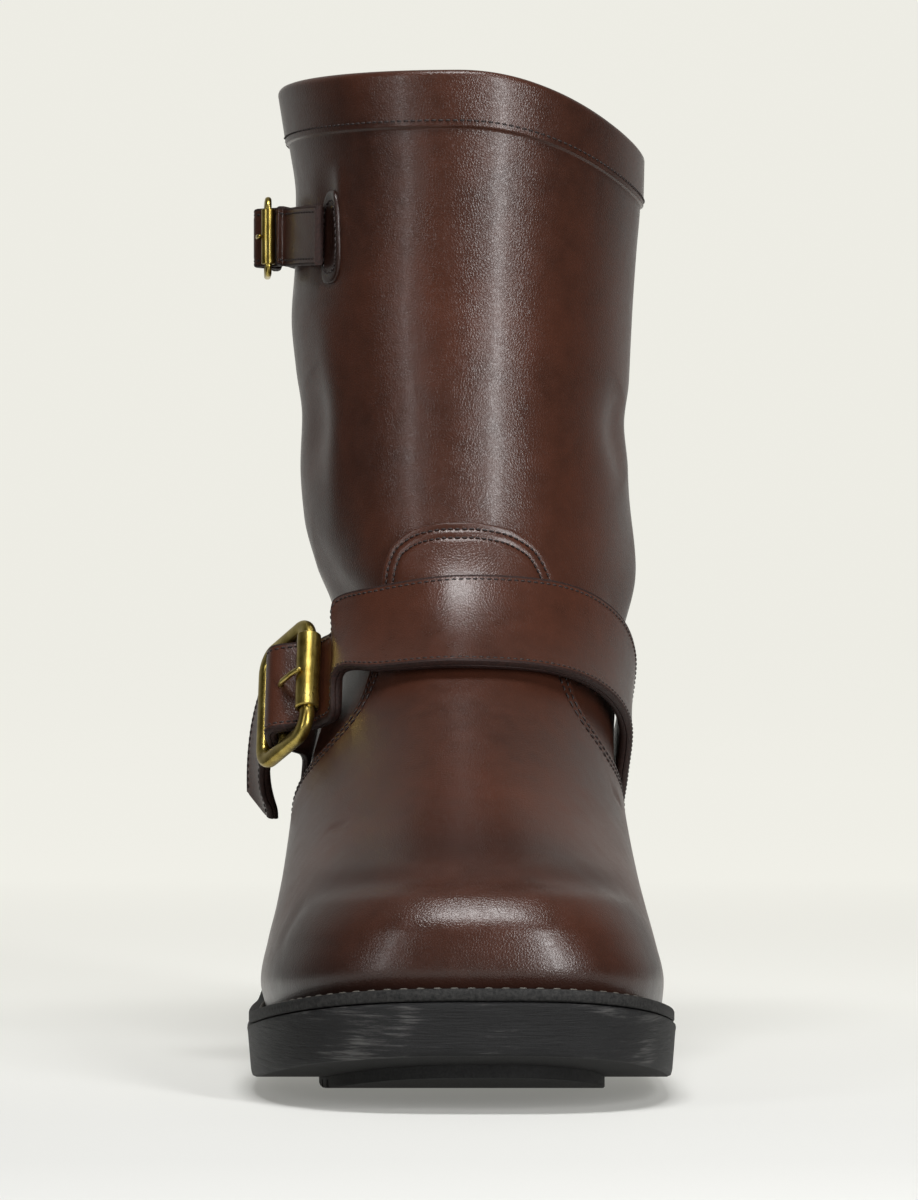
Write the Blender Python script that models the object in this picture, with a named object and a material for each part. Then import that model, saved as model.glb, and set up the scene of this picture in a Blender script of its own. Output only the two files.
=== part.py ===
"""Engineer boot for the right foot: a hollow leather upper on a welted black sole,
with a buckled strap over the instep and a small buckled strap at the top of the shaft.

Metres, +Z up. The toe points along -Y, and +X is the inner (medial) side.
The floor is z = 0, and the origin lies under the middle of the sole.
"""
import math

import bmesh
import bpy
import numpy as np
from mathutils import Vector

# Sole
SOLE_LENGTH = 0.290
SOLE_WIDTH = 0.1105
SOLE_THICKNESS = 0.0140
WAIST_THIN = 0.0035
WELT_THICKNESS = 0.0030
WELT_SET_IN = 0.0004
PAD_DEPTH = 0.0028
PAD_WIDTH = 0.0735
PAD_SUNK = 0.0020
TOE_SPRING = 0.0112
HEEL_RISE = 0.0222
HEEL_LENGTH = 0.086
HEEL_TAPER = 0.0020
GROOVE_WIDTH = 0.0034
GROOVE_DEPTH = 0.0018
GROOVE_COUNT = 7
GROOVED_SHARE = 0.70
GROOVES_END = 0.020
PAD_OVERRUN = 0.0145
PAD_FADE = 0.02
TOE_SQUARENESS = 3.0
HEEL_SQUARENESS = 2.3
SIDE_FLARE = 0.0012
TOE_STRAIGHT = 0.45
HEEL_STRAIGHT = 0.68

# Upper
UPPER_HEIGHT = 0.2402
UPPER_WALL = 0.0024
HEM_STEP = 0.0008
COLLAR_DROP = 0.0185
SLIT_LENGTH = 0.040
SLIT_WIDTH = 0.0056
VAMP_THICKNESS = 0.0014
INSOLE_PROUD = 0.0022
GAP = 0.0003

# Straps and buckles
INSTEP_STRAP_THICKNESS = 0.0036
INSTEP_STRAP_WIDTH = 0.0262
TOP_STRAP_THICKNESS = 0.0026
TOP_STRAP_WIDTH = 0.0165
CHAPE_THICKNESS = 0.0020
CHAPE_NECK = 0.74
TOP_CHAPE_THICKNESS = 0.0016
INSTEP_FRAME_LENGTH = 0.0300
INSTEP_FRAME_BAR = 0.0044
INSTEP_FRAME_DEPTH = 0.0038
TOP_FRAME_LENGTH = 0.0190
TOP_FRAME_BAR = 0.0021
TOP_FRAME_DEPTH = 0.0019
FRAME_PLAY = 0.0009
FRAME_CORNER = 1.15
CENTRE_BAR = 0.46
PRONG_RADIUS = 0.0009
TOP_PRONG_RADIUS = 0.00072
INSTEP_ROLLER_WALL = 0.0008
TOP_ROLLER_WALL = 0.0006

AROUND = 44
ALONG = 26

BALL_TOP = SOLE_THICKNESS + WELT_THICKNESS + PAD_DEPTH
TOE_Y = -SOLE_LENGTH / 2
HEEL_Y = SOLE_LENGTH / 2
BALL_FRONT_Y = -0.214 * SOLE_LENGTH
BALL_BACK_Y = -0.104 * SOLE_LENGTH
HEEL_FRONT_Y = HEEL_Y - HEEL_LENGTH
SEAT = BALL_TOP + 0.9 * TOE_SPRING
HALF_WIDTH = SOLE_WIDTH / 2

# Plan of the foot, by share of its length from the toe: inner and outer half widths as
# shares of the half width at the ball, and the middle line's shift as a share of it.
PLAN_COLUMNS = ("share", "inner", "outer", "middle")
PLAN = (
    (0.00, 0.93, 0.99, 0.12),
    (0.14, 0.97, 1.00, 0.05),
    (0.32, 1.00, 1.00, 0.00),
    (0.45, 0.93, 0.97, 0.00),
    (0.58, 0.80, 0.88, 0.03),
    (0.70, 0.73, 0.79, 0.07),
    (0.84, 0.71, 0.73, 0.09),
    (1.00, 0.71, 0.71, 0.09),
)

# Sections of the upper, from the welt to the collar. rise is a share of UPPER_HEIGHT, front
# and back are shares of half the sole's length, outer and inner are shares of HALF_WIDTH,
# toe and heel are the squareness of the two ends, and foot runs from the foot's own plan
# (1) to a plain oval (0).
UPPER_COLUMNS = ("rise", "front", "back", "outer", "inner", "toe", "heel", "foot")
UPPER = (
    (0.000, -0.944, 0.936, 0.874, 0.900, 2.9, 2.3, 1.00),
    (0.025, -0.957, 0.952, 0.905, 0.912, 2.9, 2.3, 1.00),
    (0.058, -0.950, 0.962, 0.872, 0.882, 2.8, 2.3, 0.92),
    (0.090, -0.914, 0.963, 0.832, 0.846, 2.7, 2.3, 0.78),
    (0.115, -0.848, 0.960, 0.812, 0.822, 2.5, 2.3, 0.60),
    (0.142, -0.738, 0.953, 0.800, 0.802, 2.35, 2.3, 0.44),
    (0.175, -0.600, 0.942, 0.786, 0.784, 2.2, 2.3, 0.30),
    (0.217, -0.462, 0.927, 0.738, 0.776, 2.1, 2.2, 0.18),
    (0.267, -0.330, 0.910, 0.682, 0.786, 2.0, 2.2, 0.08),
    (0.325, -0.204, 0.896, 0.655, 0.812, 2.0, 2.2, 0.00),
    (0.383, -0.106, 0.886, 0.635, 0.848, 2.0, 2.2, 0.00),
    (0.442, -0.042, 0.882, 0.724, 0.872, 2.1, 2.2, 0.00),
    (0.500, -0.008, 0.884, 0.790, 0.866, 2.1, 2.2, 0.00),
    (0.562, 0.010, 0.888, 0.810, 0.862, 2.1, 2.2, 0.00),
    (0.617, 0.016, 0.892, 0.802, 0.844, 2.1, 2.2, 0.00),
    (0.675, 0.020, 0.897, 0.834, 0.868, 2.1, 2.2, 0.00),
    (0.733, 0.020, 0.901, 0.856, 0.878, 2.1, 2.2, 0.00),
    (0.800, 0.014, 0.905, 0.838, 0.890, 2.1, 2.2, 0.00),
    (0.875, 0.007, 0.908, 0.834, 0.908, 2.1, 2.2, 0.00),
    (0.938, 0.000, 0.910, 0.870, 0.926, 2.1, 2.2, 0.00),
    (1.000, -0.007, 0.912, 0.912, 0.932, 2.1, 2.2, 0.00),
)

# Heights of the upper's mesh rows, as shares of UPPER_HEIGHT.
LEVELS = (0.0, 0.012, 0.03, 0.055, 0.08, 0.10, 0.12, 0.142, 0.166, 0.193, 0.222, 0.256,
          0.293, 0.333, 0.375, 0.417, 0.46, 0.508, 0.562, 0.617, 0.675, 0.738, 0.80,
          0.862, 0.915)
HEM_LEVELS = (0.9335, 0.936, 0.968, 1.0)

# Edge of the vamp seen from the side, from the welt up to its top at the shaft's front:
# height as a share of UPPER_HEIGHT, and place along the foot as a share of half the length.
VAMP_COLUMNS = ("rise", "along")
VAMP_EDGE = (
    (-0.100, 0.120),
    (0.000, 0.100),
    (0.080, 0.085),
    (0.150, 0.050),
    (0.196, 0.000),
    (0.220, -0.050),
    (0.242, -0.100),
    (0.275, -0.125),
    (0.325, -0.085),
    (0.370, -0.036),
    (0.420, 0.004),
    (0.455, 0.010),
    (0.478, 0.000),
    (0.488, -0.012),
)

# Stations of the straps and chapes on the upper, each towards its buckle or away from it:
# angle in degrees from the toe (inner side positive), rise of the lower and the upper edge
# as shares of UPPER_HEIGHT, clearance from the upper, and width as a share of the strap's.
INSTEP_STRAP = (
    (118, 0.070, 0.185, 0.0007, 1.00),
    (104, 0.120, 0.235, 0.0007, 1.00),
    (88, 0.185, 0.300, 0.0008, 1.03),
    (70, 0.245, 0.360, 0.0022, 1.08),
    (50, 0.283, 0.400, 0.0030, 1.15),
    (28, 0.302, 0.421, 0.0032, 1.21),
    (0, 0.306, 0.424, 0.0032, 1.22),
    (-28, 0.302, 0.418, 0.0038, 1.14),
    (-44, 0.300, 0.408, 0.0062, 1.04),
)
# The free end of the instep strap: shift from the buckle as shares of the strap's width,
# the way out and the way across, and width as a share of the strap's.
STRAP_TAIL = (
    ((-0.06, 0.20, -0.36), (-0.92, -0.36, 0.05), (-0.12, 0.52, 0.80), 0.96),
    ((-0.06, 0.36, -0.86), (-0.84, -0.50, 0.00), (-0.40, 0.70, 0.45), 0.60),
)
INSTEP_CHAPE = (
    (-92, 0.205, 0.305, 0.0014, 0.90),
    (-102, 0.160, 0.260, 0.0014, 0.90),
    (-114, 0.105, 0.205, 0.0014, 0.90),
)
TOP_STRAP = (
    (-51, 0.786, 0.854, 0.0006, 1.00),
    (-57, 0.787, 0.855, 0.0006, 1.00),
    (-64, 0.788, 0.856, 0.0009, 1.00),
    (-72, 0.789, 0.857, 0.0016, 1.00),
)
TOP_CHAPE = (
    (-97, 0.793, 0.857, 0.0014, 0.85),
    (-104, 0.793, 0.857, 0.0010, 0.85),
    (-113, 0.793, 0.857, 0.0008, 0.85),
)

# Seats of the buckles: angle, rise and distance out from the upper of the middle, and the
# directions along the strap (away from its sewn end) and across it.
INSTEP_SEAT = ((-66.19, 0.2784, 0.01345), (-0.48, 0.78, -0.40), (0.13, 0.26, 0.95))
TOP_SEAT = ((-84.0, 0.825, 0.00783), (-0.05, 0.99, 0.0), (0.0, 0.0, 1.0))

LEATHER = ((0.078, 0.022, 0.013), 0.42, 0.0)
SOLE_BLACK = ((0.016, 0.016, 0.017), 0.55, 0.0)
INSOLE_TAN = ((0.32, 0.20, 0.12), 0.7, 0.0)
BRASS = ((0.42, 0.29, 0.09), 0.32, 1.0)


def column(table, names, name):
    """Return one named column of a table as an array."""
    return np.array([row[names.index(name)] for row in table], float)


def smooth(table, names, name, at):
    """Read one column of a table at a place in its first column, without overshoot."""
    x = column(table, names, names[0])
    y = column(table, names, name)
    at = min(max(at, x[0]), x[-1])
    step = np.diff(x)
    slope = np.diff(y) / step
    tangent = np.zeros(len(x))
    for i in range(1, len(x) - 1):
        if slope[i - 1] * slope[i] > 0:
            tangent[i] = 2 * slope[i - 1] * slope[i] / (slope[i - 1] + slope[i])
    tangent[0] = slope[0]
    tangent[-1] = slope[-1]
    i = int(np.clip(np.searchsorted(x, at) - 1, 0, len(x) - 2))
    t = (at - x[i]) / step[i]
    return float((2 * t**3 - 3 * t**2 + 1) * y[i] + (t**3 - 2 * t**2 + t) * step[i] * tangent[i]
                 + (3 * t**2 - 2 * t**3) * y[i + 1] + (t**3 - t**2) * step[i] * tangent[i + 1])


def ease(t):
    """Run smoothly from 0 to 1 as t does."""
    t = min(max(t, 0.0), 1.0)
    return t * t * (3 - 2 * t)


def seat_height(y):
    """Height of the welt's top along the foot: toe spring, flat ball, waist and heel seat."""
    if y < BALL_FRONT_Y:
        return BALL_TOP + TOE_SPRING * ((BALL_FRONT_Y - y) / (BALL_FRONT_Y - TOE_Y)) ** 1.6
    return BALL_TOP + HEEL_RISE * ease((y - BALL_BACK_Y) / (HEEL_FRONT_Y - BALL_BACK_Y))


def sole_depth(y):
    """Thickness of the outsole band, thinner from the waist back."""
    return SOLE_THICKNESS - WAIST_THIN * ease((y - BALL_BACK_Y) / (HEEL_FRONT_Y - BALL_BACK_Y))


def plan_point(angle, front, back, outer, inner, toe, heel, foot):
    """Point of a plan outline; angle runs from the toe (0) by the inner side to the heel."""
    share = -math.cos(angle)
    square = (TOE_STRAIGHT if share < 0 else HEEL_STRAIGHT) * foot
    power = toe if share < 0 else heel
    reach = max(0.0, (abs(share) - square) / (1 - square))
    round_end = max(0.0, 1 - min(reach, 1.0) ** power) ** (1 / power)
    along = (share + 1) / 2
    on_inner = math.sin(angle) >= 0
    plan = smooth(PLAN, PLAN_COLUMNS, "inner" if on_inner else "outer", along)
    half = (inner if on_inner else outer) * round_end * (1 + foot * (plan - 1))
    middle = HALF_WIDTH * smooth(PLAN, PLAN_COLUMNS, "middle", along) * foot
    x = middle + (half if on_inner else -half)
    return x, front + (back - front) * along


def sole_plan(angle, inset=0.0):
    """Point of the sole's outline, set in by a margin."""
    return plan_point(angle, TOE_Y + inset, HEEL_Y - inset, HALF_WIDTH - inset,
                      HALF_WIDTH - inset, TOE_SQUARENESS, HEEL_SQUARENESS, 1.0)


def upper_base(angle, rise):
    """Point on the upper's outer surface; rise is a share of UPPER_HEIGHT."""
    values = {name: smooth(UPPER, UPPER_COLUMNS, name, rise) for name in UPPER_COLUMNS[1:]}
    half_length = SOLE_LENGTH / 2
    x, y = plan_point(angle, values["front"] * half_length, values["back"] * half_length,
                      values["outer"] * HALF_WIDTH, values["inner"] * HALF_WIDTH,
                      values["toe"], values["heel"], values["foot"])
    z = SEAT + UPPER_HEIGHT * rise
    follow_sole = max(0.0, 1 - rise / 0.30) ** 2
    z += follow_sole * (seat_height(y) - SEAT)
    follow_collar = ease((rise - 0.5) / 0.5)
    z -= follow_collar * COLLAR_DROP * (max(x, 0.0) / HALF_WIDTH / 0.93) ** 2
    return Vector((x, y, z))


def upper_normal(angle, rise):
    """Outward normal of the upper."""
    low = max(rise - 0.006, 0.0)
    high = min(rise + 0.006, 1.0)
    around = upper_base(angle + 0.03, rise) - upper_base(angle - 0.03, rise)
    up = upper_base(angle, high) - upper_base(angle, low)
    return around.cross(up).normalized()


def upper_point(angle, rise, out=0.0):
    """Point at a distance outside the upper's outer surface."""
    return upper_base(angle, rise) + out * upper_normal(angle, rise)


def material(name, look):
    """Make a plain Principled material."""
    color, roughness, metallic = look
    made = bpy.data.materials.new(name)
    made.use_nodes = True
    shader = made.node_tree.nodes["Principled BSDF"]
    shader.inputs["Base Color"].default_value = (*color, 1.0)
    shader.inputs["Roughness"].default_value = roughness
    shader.inputs["Metallic"].default_value = metallic
    return made


def collection(name):
    """Make a collection in the scene."""
    made = bpy.data.collections.new(name)
    bpy.context.scene.collection.children.link(made)
    return made


def loft(name, rings, group, look, closed_ends=False):
    """Make one body through rings of points; closed_ends joins the last ring to the first."""
    mesh = bpy.data.meshes.new(name)
    bm = bmesh.new()
    rows = [[bm.verts.new(p) for p in ring] for ring in rings]
    count = len(rows[0])
    pairs = list(zip(rows, rows[1:] + rows[:1])) if closed_ends else list(zip(rows, rows[1:]))
    for a, b in pairs:
        for i in range(count):
            j = (i + 1) % count
            bm.faces.new((a[i], a[j], b[j], b[i]))
    if not closed_ends:
        bm.faces.new(rows[0])
        bm.faces.new(rows[-1][::-1])
    bmesh.ops.recalc_face_normals(bm, faces=bm.faces)
    bm.to_mesh(mesh)
    bm.free()
    mesh.shade_smooth()
    mesh.set_sharp_from_angle(angle=math.radians(40))
    made = bpy.data.objects.new(name, mesh)
    made.data.materials.append(material(name + "_finish", look))
    group.objects.link(made)
    return made


def cut(target, cutter, operation="DIFFERENCE"):
    """Cut, join or trim a body by another with an exact Boolean."""
    step = target.modifiers.new(cutter.name, "BOOLEAN")
    step.operation = operation
    step.solver = "EXACT"
    step.object = cutter
    cutter.hide_render = True
    cutter.display_type = "WIRE"


def half_angles(count):
    """Angles from toe to heel on the inner side, without the two ends."""
    return [math.pi * (i + 0.5) / count for i in range(count)]


def sole_stations(inset, count, first_y=None):
    """Places across the sole: y, outer x and inner x, from the toe to the heel."""
    stations = []
    for angle in half_angles(count):
        inner_x, y = sole_plan(angle, inset)
        outer_x, _ = sole_plan(-angle, inset)
        if first_y is None or y > first_y:
            stations.append((y, outer_x, inner_x))
    return stations


def make_outsole(parts, cutters):
    """The black band with its inset tread pad, cut across by grooves."""
    rings = []
    for y, outer_x, inner_x in sole_stations(0.0, ALONG):
        top = seat_height(y) - WELT_THICKNESS - 1.7 * GAP
        low = seat_height(y) - WELT_THICKNESS - sole_depth(y)
        rings.append([(outer_x - SIDE_FLARE, y, low), (outer_x, y, top),
                      (inner_x, y, top), (inner_x + SIDE_FLARE, y, low)])
    band = loft("outsole", rings, parts, SOLE_BLACK)

    inset = (SOLE_WIDTH - PAD_WIDTH) / 2
    pad_back = BALL_BACK_Y + PAD_OVERRUN
    rings = []
    for y, outer_x, inner_x in sole_stations(inset, ALONG):
        if y < pad_back:
            low = seat_height(y) - BALL_TOP
            top = low + PAD_DEPTH + PAD_SUNK
            if y > BALL_BACK_Y:
                low = (y - BALL_BACK_Y) * PAD_FADE
                top = seat_height(y) - WELT_THICKNESS - sole_depth(y) + PAD_SUNK
            rings.append([(outer_x, y, low), (outer_x, y, top), (inner_x, y, top),
                          (inner_x, y, low)])
    pad = loft("tread_pad", rings, cutters, SOLE_BLACK)
    cut(band, pad, "UNION")

    pitch = GROOVED_SHARE * (BALL_BACK_Y - TOE_Y) / GROOVE_COUNT
    tall = 2 * PAD_DEPTH + GROOVE_DEPTH
    for i in range(GROOVE_COUNT):
        y = BALL_BACK_Y + GROOVES_END - (i + 0.5) * pitch
        z = max(seat_height(y) - BALL_TOP, 0.0) + GROOVE_DEPTH - tall / 2
        bpy.ops.mesh.primitive_cube_add(size=1, location=(0, y, z))
        groove = bpy.context.object
        groove.name = f"groove_{i + 1}"
        groove.scale = (SOLE_WIDTH, GROOVE_WIDTH, tall)
        for owner in groove.users_collection:
            owner.objects.unlink(groove)
        cutters.objects.link(groove)
        cut(band, groove)
    return band


def make_heel(parts):
    """The heel block, plain, with a straight front and a slight taper."""
    rings = []
    stations = [s for s in sole_stations(0.0, ALONG * 2) if s[0] > HEEL_FRONT_Y + 0.002]
    y, outer_x, inner_x = stations[0]
    stations.insert(0, (HEEL_FRONT_Y, outer_x, inner_x))
    for y, outer_x, inner_x in stations:
        top = seat_height(HEEL_FRONT_Y) - WELT_THICKNESS - sole_depth(HEEL_FRONT_Y) - GAP
        middle = (outer_x + inner_x) / 2
        taper = HEEL_TAPER / HALF_WIDTH
        low_y = y - HEEL_TAPER * (y - HEEL_FRONT_Y) / HEEL_LENGTH
        rings.append([(outer_x + (middle - outer_x) * taper, low_y, 0.0), (outer_x, y, top),
                      (inner_x, y, top), (inner_x + (middle - inner_x) * taper, low_y, 0.0)])
    return loft("heel", rings, parts, SOLE_BLACK)


def make_welt(parts):
    """The stitched strip that carries the upper on the sole's rim."""
    rings = []
    for i in range(AROUND):
        angle = 2 * math.pi * (i + 0.5) / AROUND
        outer = sole_plan(angle, WELT_SET_IN)
        inner = upper_point(angle, 0.0, -UPPER_WALL)
        top = seat_height(outer[1])
        inner_top = seat_height(inner.y)
        rings.append([(outer[0], outer[1], top - WELT_THICKNESS), (outer[0], outer[1], top),
                      (inner.x, inner.y, inner_top),
                      (inner.x, inner.y, inner_top - WELT_THICKNESS)])
    return loft("welt", rings, parts, SOLE_BLACK, closed_ends=True)


def make_insole(parts):
    """The inner sole, level with the welt below and standing a little above it."""
    rings = []
    for angle in half_angles(ALONG - 4):
        inner = upper_point(angle, 0.0, -UPPER_WALL)
        outer = upper_point(-angle, 0.0, -UPPER_WALL)
        y = inner.y
        low = seat_height(y) - WELT_THICKNESS + GAP
        top = seat_height(y) + INSOLE_PROUD
        margin = 2.5 * GAP
        left = outer.x + margin
        right = inner.x - margin
        if right - left < 0.004:
            continue
        rings.append([(left, y, low), (left, y, top), (right, y, top), (right, y, low)])
    return loft("insole", rings, parts, INSOLE_TAN)


def make_upper(parts, cutters):
    """One hollow wall from the welt to the collar, with the hem as a step near the top."""
    angles = [2 * math.pi * (i + 0.5) / AROUND for i in range(AROUND)]
    outside = [(rise, 0.0) for rise in LEVELS]
    outside += [(HEM_LEVELS[0], 0.0)]
    outside += [(rise, HEM_STEP) for rise in HEM_LEVELS[1:]]
    inside = [(rise, -UPPER_WALL) for rise in LEVELS + HEM_LEVELS[2:]]
    rings = [[upper_point(a, rise, out) for a in angles] for rise, out in outside]
    rings += [[upper_point(a, rise, out) for a in angles] for rise, out in reversed(inside)]
    for ring in (rings[0], rings[-1]):
        for point in ring:
            point.z = seat_height(point.y) + 1.5 * GAP
    upper = loft("upper", rings, parts, LEATHER, closed_ends=True)

    top = upper_base(-math.pi / 2, 1.0)
    slit_y = top.y
    low = top.z - SLIT_LENGTH
    high = top.z + 0.010
    rings = []
    for z, width in ((low, 0.3 * SLIT_WIDTH), (high, SLIT_WIDTH)):
        rings.append([(top.x - 0.02, slit_y - width / 2, z), (top.x + 0.02, slit_y - width / 2, z),
                      (top.x + 0.02, slit_y + width / 2, z), (top.x - 0.02, slit_y + width / 2, z)])
    cut(upper, loft("slit", rings, cutters, LEATHER))
    return upper


def make_vamp(parts, cutters):
    """The layer over the forefoot, cut between two larger forms of the upper."""
    angles = [2 * math.pi * (i + 0.5) / AROUND for i in range(AROUND)]
    levels = [rise for rise in LEVELS if rise < 0.6]
    inner = 1.4 * GAP
    rings = [[upper_point(a, rise, inner + VAMP_THICKNESS) for a in angles] for rise in levels]
    rings += [[upper_point(a, rise, inner) for a in angles] for rise in reversed(levels)]
    for ring in (rings[0], rings[-1]):
        for point in ring:
            point.z = seat_height(point.y) + 1.5 * GAP
    vamp = loft("vamp", rings, parts, LEATHER, closed_ends=True)

    half_length = SOLE_LENGTH / 2
    low = VAMP_EDGE[0][0]
    high = VAMP_EDGE[-1][0]
    steps = 28
    edge = []
    for i in range(steps, -1, -1):
        rise = low + (high - low) * math.sin(0.5 * math.pi * i / steps)
        edge.append((smooth(VAMP_EDGE, VAMP_COLUMNS, "along", rise) * half_length,
                     SEAT + UPPER_HEIGHT * rise))
    front = TOE_Y - 0.05
    outline = edge + [(front, edge[-1][1]), (front, edge[0][1])]
    rings = [[(x, y, z) for y, z in outline] for x in (-SOLE_WIDTH, SOLE_WIDTH)]
    cut(vamp, loft("vamp_side", rings, cutters, LEATHER), "INTERSECT")
    return vamp


def strap_section(centre, out, across, width, thickness, bow):
    """Ten points of a strap's section: its corners cut, its middle bowed outward."""
    half = width / 2
    deep = thickness / 2
    corner = 0.35 * thickness
    points = ((-half, -deep + corner), (-half + corner, -deep), (0.0, bow - deep),
              (half - corner, -deep), (half, -deep + corner), (half, deep - corner),
              (half - corner, deep), (0.0, bow + deep), (-half + corner, deep),
              (-half, deep - corner))
    return [centre + across * a + out * b for a, b in points]


def surface_stations(table, thickness):
    """Stations of a strap that lies on the upper: centre, outward, across and bow."""
    stations = []
    for angle, low, high, clear, _ in table:
        turn = math.radians(angle)
        bottom = upper_point(turn, low, clear + thickness / 2)
        top = upper_point(turn, high, clear + thickness / 2)
        across = (top - bottom).normalized()
        out = upper_normal(turn, (low + high) / 2)
        out = (out - across * out.dot(across)).normalized()
        centre = (bottom + top) / 2
        middle = upper_point(turn, (low + high) / 2, clear + thickness / 2)
        stations.append((centre, out, across, (middle - centre).dot(out)))
    return stations


def sweep_strap(name, stations, widths, thickness, parts, steps=3):
    """Make a strap through its stations, eased between them."""
    count = len(stations)
    rings = []

    def eased(values, i, t):
        a, b, c, d = (values[min(max(i + k, 0), count - 1)] for k in (-1, 0, 1, 2))
        return 0.5 * (2 * b + (c - a) * t + (2 * a - 5 * b + 4 * c - d) * t * t
                      + (3 * b - a - 3 * c + d) * t**3)

    places = [(i, k / steps) for i in range(count - 1) for k in range(steps)]
    places.append((count - 2, 1.0))
    centres, outs, acrosses, bows = zip(*stations)
    for i, t in places:
        across = eased(acrosses, i, t).normalized()
        out = eased(outs, i, t)
        out = (out - across * out.dot(across)).normalized()
        rings.append(strap_section(eased(centres, i, t), out, across, eased(widths, i, t),
                                   thickness, eased(bows, i, t)))
    return loft(name, rings, parts, LEATHER)


class BuckleSeat:
    """Where a buckle lies: its centre, and unit vectors along, outward and across."""

    def __init__(self, place, along, across):
        angle, rise, out = place
        self.centre = upper_point(math.radians(angle), rise, out)
        self.along = Vector(along).normalized()
        across = Vector(across)
        self.across = (across - self.along * across.dot(self.along)).normalized()
        self.out = self.along.cross(self.across).normalized()
        if self.out.x > 0:
            self.out = -self.out

    def point(self, along, out, across=0.0):
        """World point at a distance along, outward and across."""
        return self.centre + self.along * along + self.out * out + self.across * across


def make_frame(name, seat, length, width, bar, depth, parts, cutters):
    """A buckle's rounded frame with a centre bar."""
    half_length = length / 2 - bar / 2
    half_width = width / 2 - bar / 2
    corner = FRAME_CORNER * bar
    path = []
    for sx, sy, start in ((1, 1, 0), (-1, 1, 90), (-1, -1, 180), (1, -1, 270)):
        for k in range(5):
            turn = math.radians(start + 22.5 * k)
            path.append((sx * (half_length - corner) + corner * math.cos(turn),
                         sy * (half_width - corner) + corner * math.sin(turn), turn))
    profile = [(math.cos(t) * bar / 2, math.sin(t) * depth / 2)
               for t in (math.pi * (2 * k + 1) / 8 for k in range(8))]
    rings = []
    for along, across, turn in path:
        rings.append([seat.point(along + a * math.cos(turn), b, across + a * math.sin(turn))
                      for a, b in profile])
    frame = loft(name, rings, parts, BRASS, closed_ends=True)
    rings = []
    for across in (-half_width, half_width):
        rings.append([seat.point(CENTRE_BAR * depth * math.cos(t), CENTRE_BAR * depth * math.sin(t),
                                 across) for t in (math.pi * k / 4 for k in range(8))])
    bar_body = loft(name + "_bar", rings, cutters, BRASS)
    cut(frame, bar_body, "UNION")
    return frame


def roller_radius(bar, depth, wall):
    """Outer radius of a roller that clears its eight-sided bar."""
    turn = math.pi / 8
    return math.hypot(math.cos(turn) * bar / 2, math.sin(turn) * depth / 2) + GAP + wall


def make_roller(name, seat, length, width, bar, depth, wall, shift, parts):
    """The tube that turns on the frame's front bar."""
    at = -(length / 2 - bar / 2)
    outer = roller_radius(bar, depth, wall)
    inner = outer - wall
    rings = []
    for radius, end in ((inner, -1), (outer, -1), (outer, 1), (inner, 1)):
        ring = []
        for k in range(16):
            turn = 2 * math.pi * k / 16
            ring.append(seat.point(at + radius * math.cos(turn), radius * math.sin(turn),
                                   shift + end * width / 2))
        rings.append(ring)
    return loft(name, rings, parts, BRASS, closed_ends=True)


def weave_path(half, bar, depth, roller, thickness):
    """A strap's way through a buckle: under the roller, over the centre bar, under the rear."""
    clear = GAP + thickness / 2 + 0.0001
    under = roller + clear
    over = CENTRE_BAR * depth + clear
    rear = depth / 2 + clear
    slant = math.sqrt(0.5)
    return ((-half - 1.1 * under, -under), (-half, -under - 0.0001),
            (-half + slant * under, -slant * under - 0.0002), (-slant * over, slant * over),
            (0.0, over + 0.0001), (slant * over, slant * over),
            (half - 0.5 * bar - slant * clear, -slant * clear - 0.0002), (half, -rear - 0.0002),
            (half + 0.0060, -rear + 0.0004))


def buckle_stations(seat, path):
    """Stations of a strap along its way through a buckle."""
    stations = []
    for i, (along, out) in enumerate(path):
        before = path[max(i - 1, 0)]
        after = path[min(i + 1, len(path) - 1)]
        run = seat.along * (after[0] - before[0]) + seat.out * (after[1] - before[1])
        normal = run.cross(seat.across).normalized()
        if normal.dot(seat.out) < 0:
            normal = -normal
        stations.append((seat.point(along, out), normal, seat.across, 0.0))
    return stations


def chape_path(half, depth, thickness, chape):
    """A chape's way from the centre bar back and down, below the strap."""
    start = CENTRE_BAR * depth + GAP + chape / 2
    end = depth / 2 + thickness + 4 * GAP + chape / 2
    return ((0.0020, -start - 0.0003), (0.55 * half, -0.5 * (start + end) - 0.0004),
            (half, -end - 0.0006))


def make_prong(name, seat, path, radius, parts):
    """The prong, from just above the centre bar to the roller."""
    curve = bpy.data.curves.new(name, "CURVE")
    curve.dimensions = "3D"
    curve.bevel_depth = radius
    curve.bevel_resolution = 2
    curve.use_fill_caps = True
    spline = curve.splines.new("POLY")
    spline.points.add(len(path) - 1)
    for point, (along, out) in zip(spline.points, path):
        point.co = (*seat.point(along, out), 1.0)
    made = bpy.data.objects.new(name, curve)
    made.data.materials.append(material(name + "_finish", BRASS))
    parts.objects.link(made)
    return made


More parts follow.
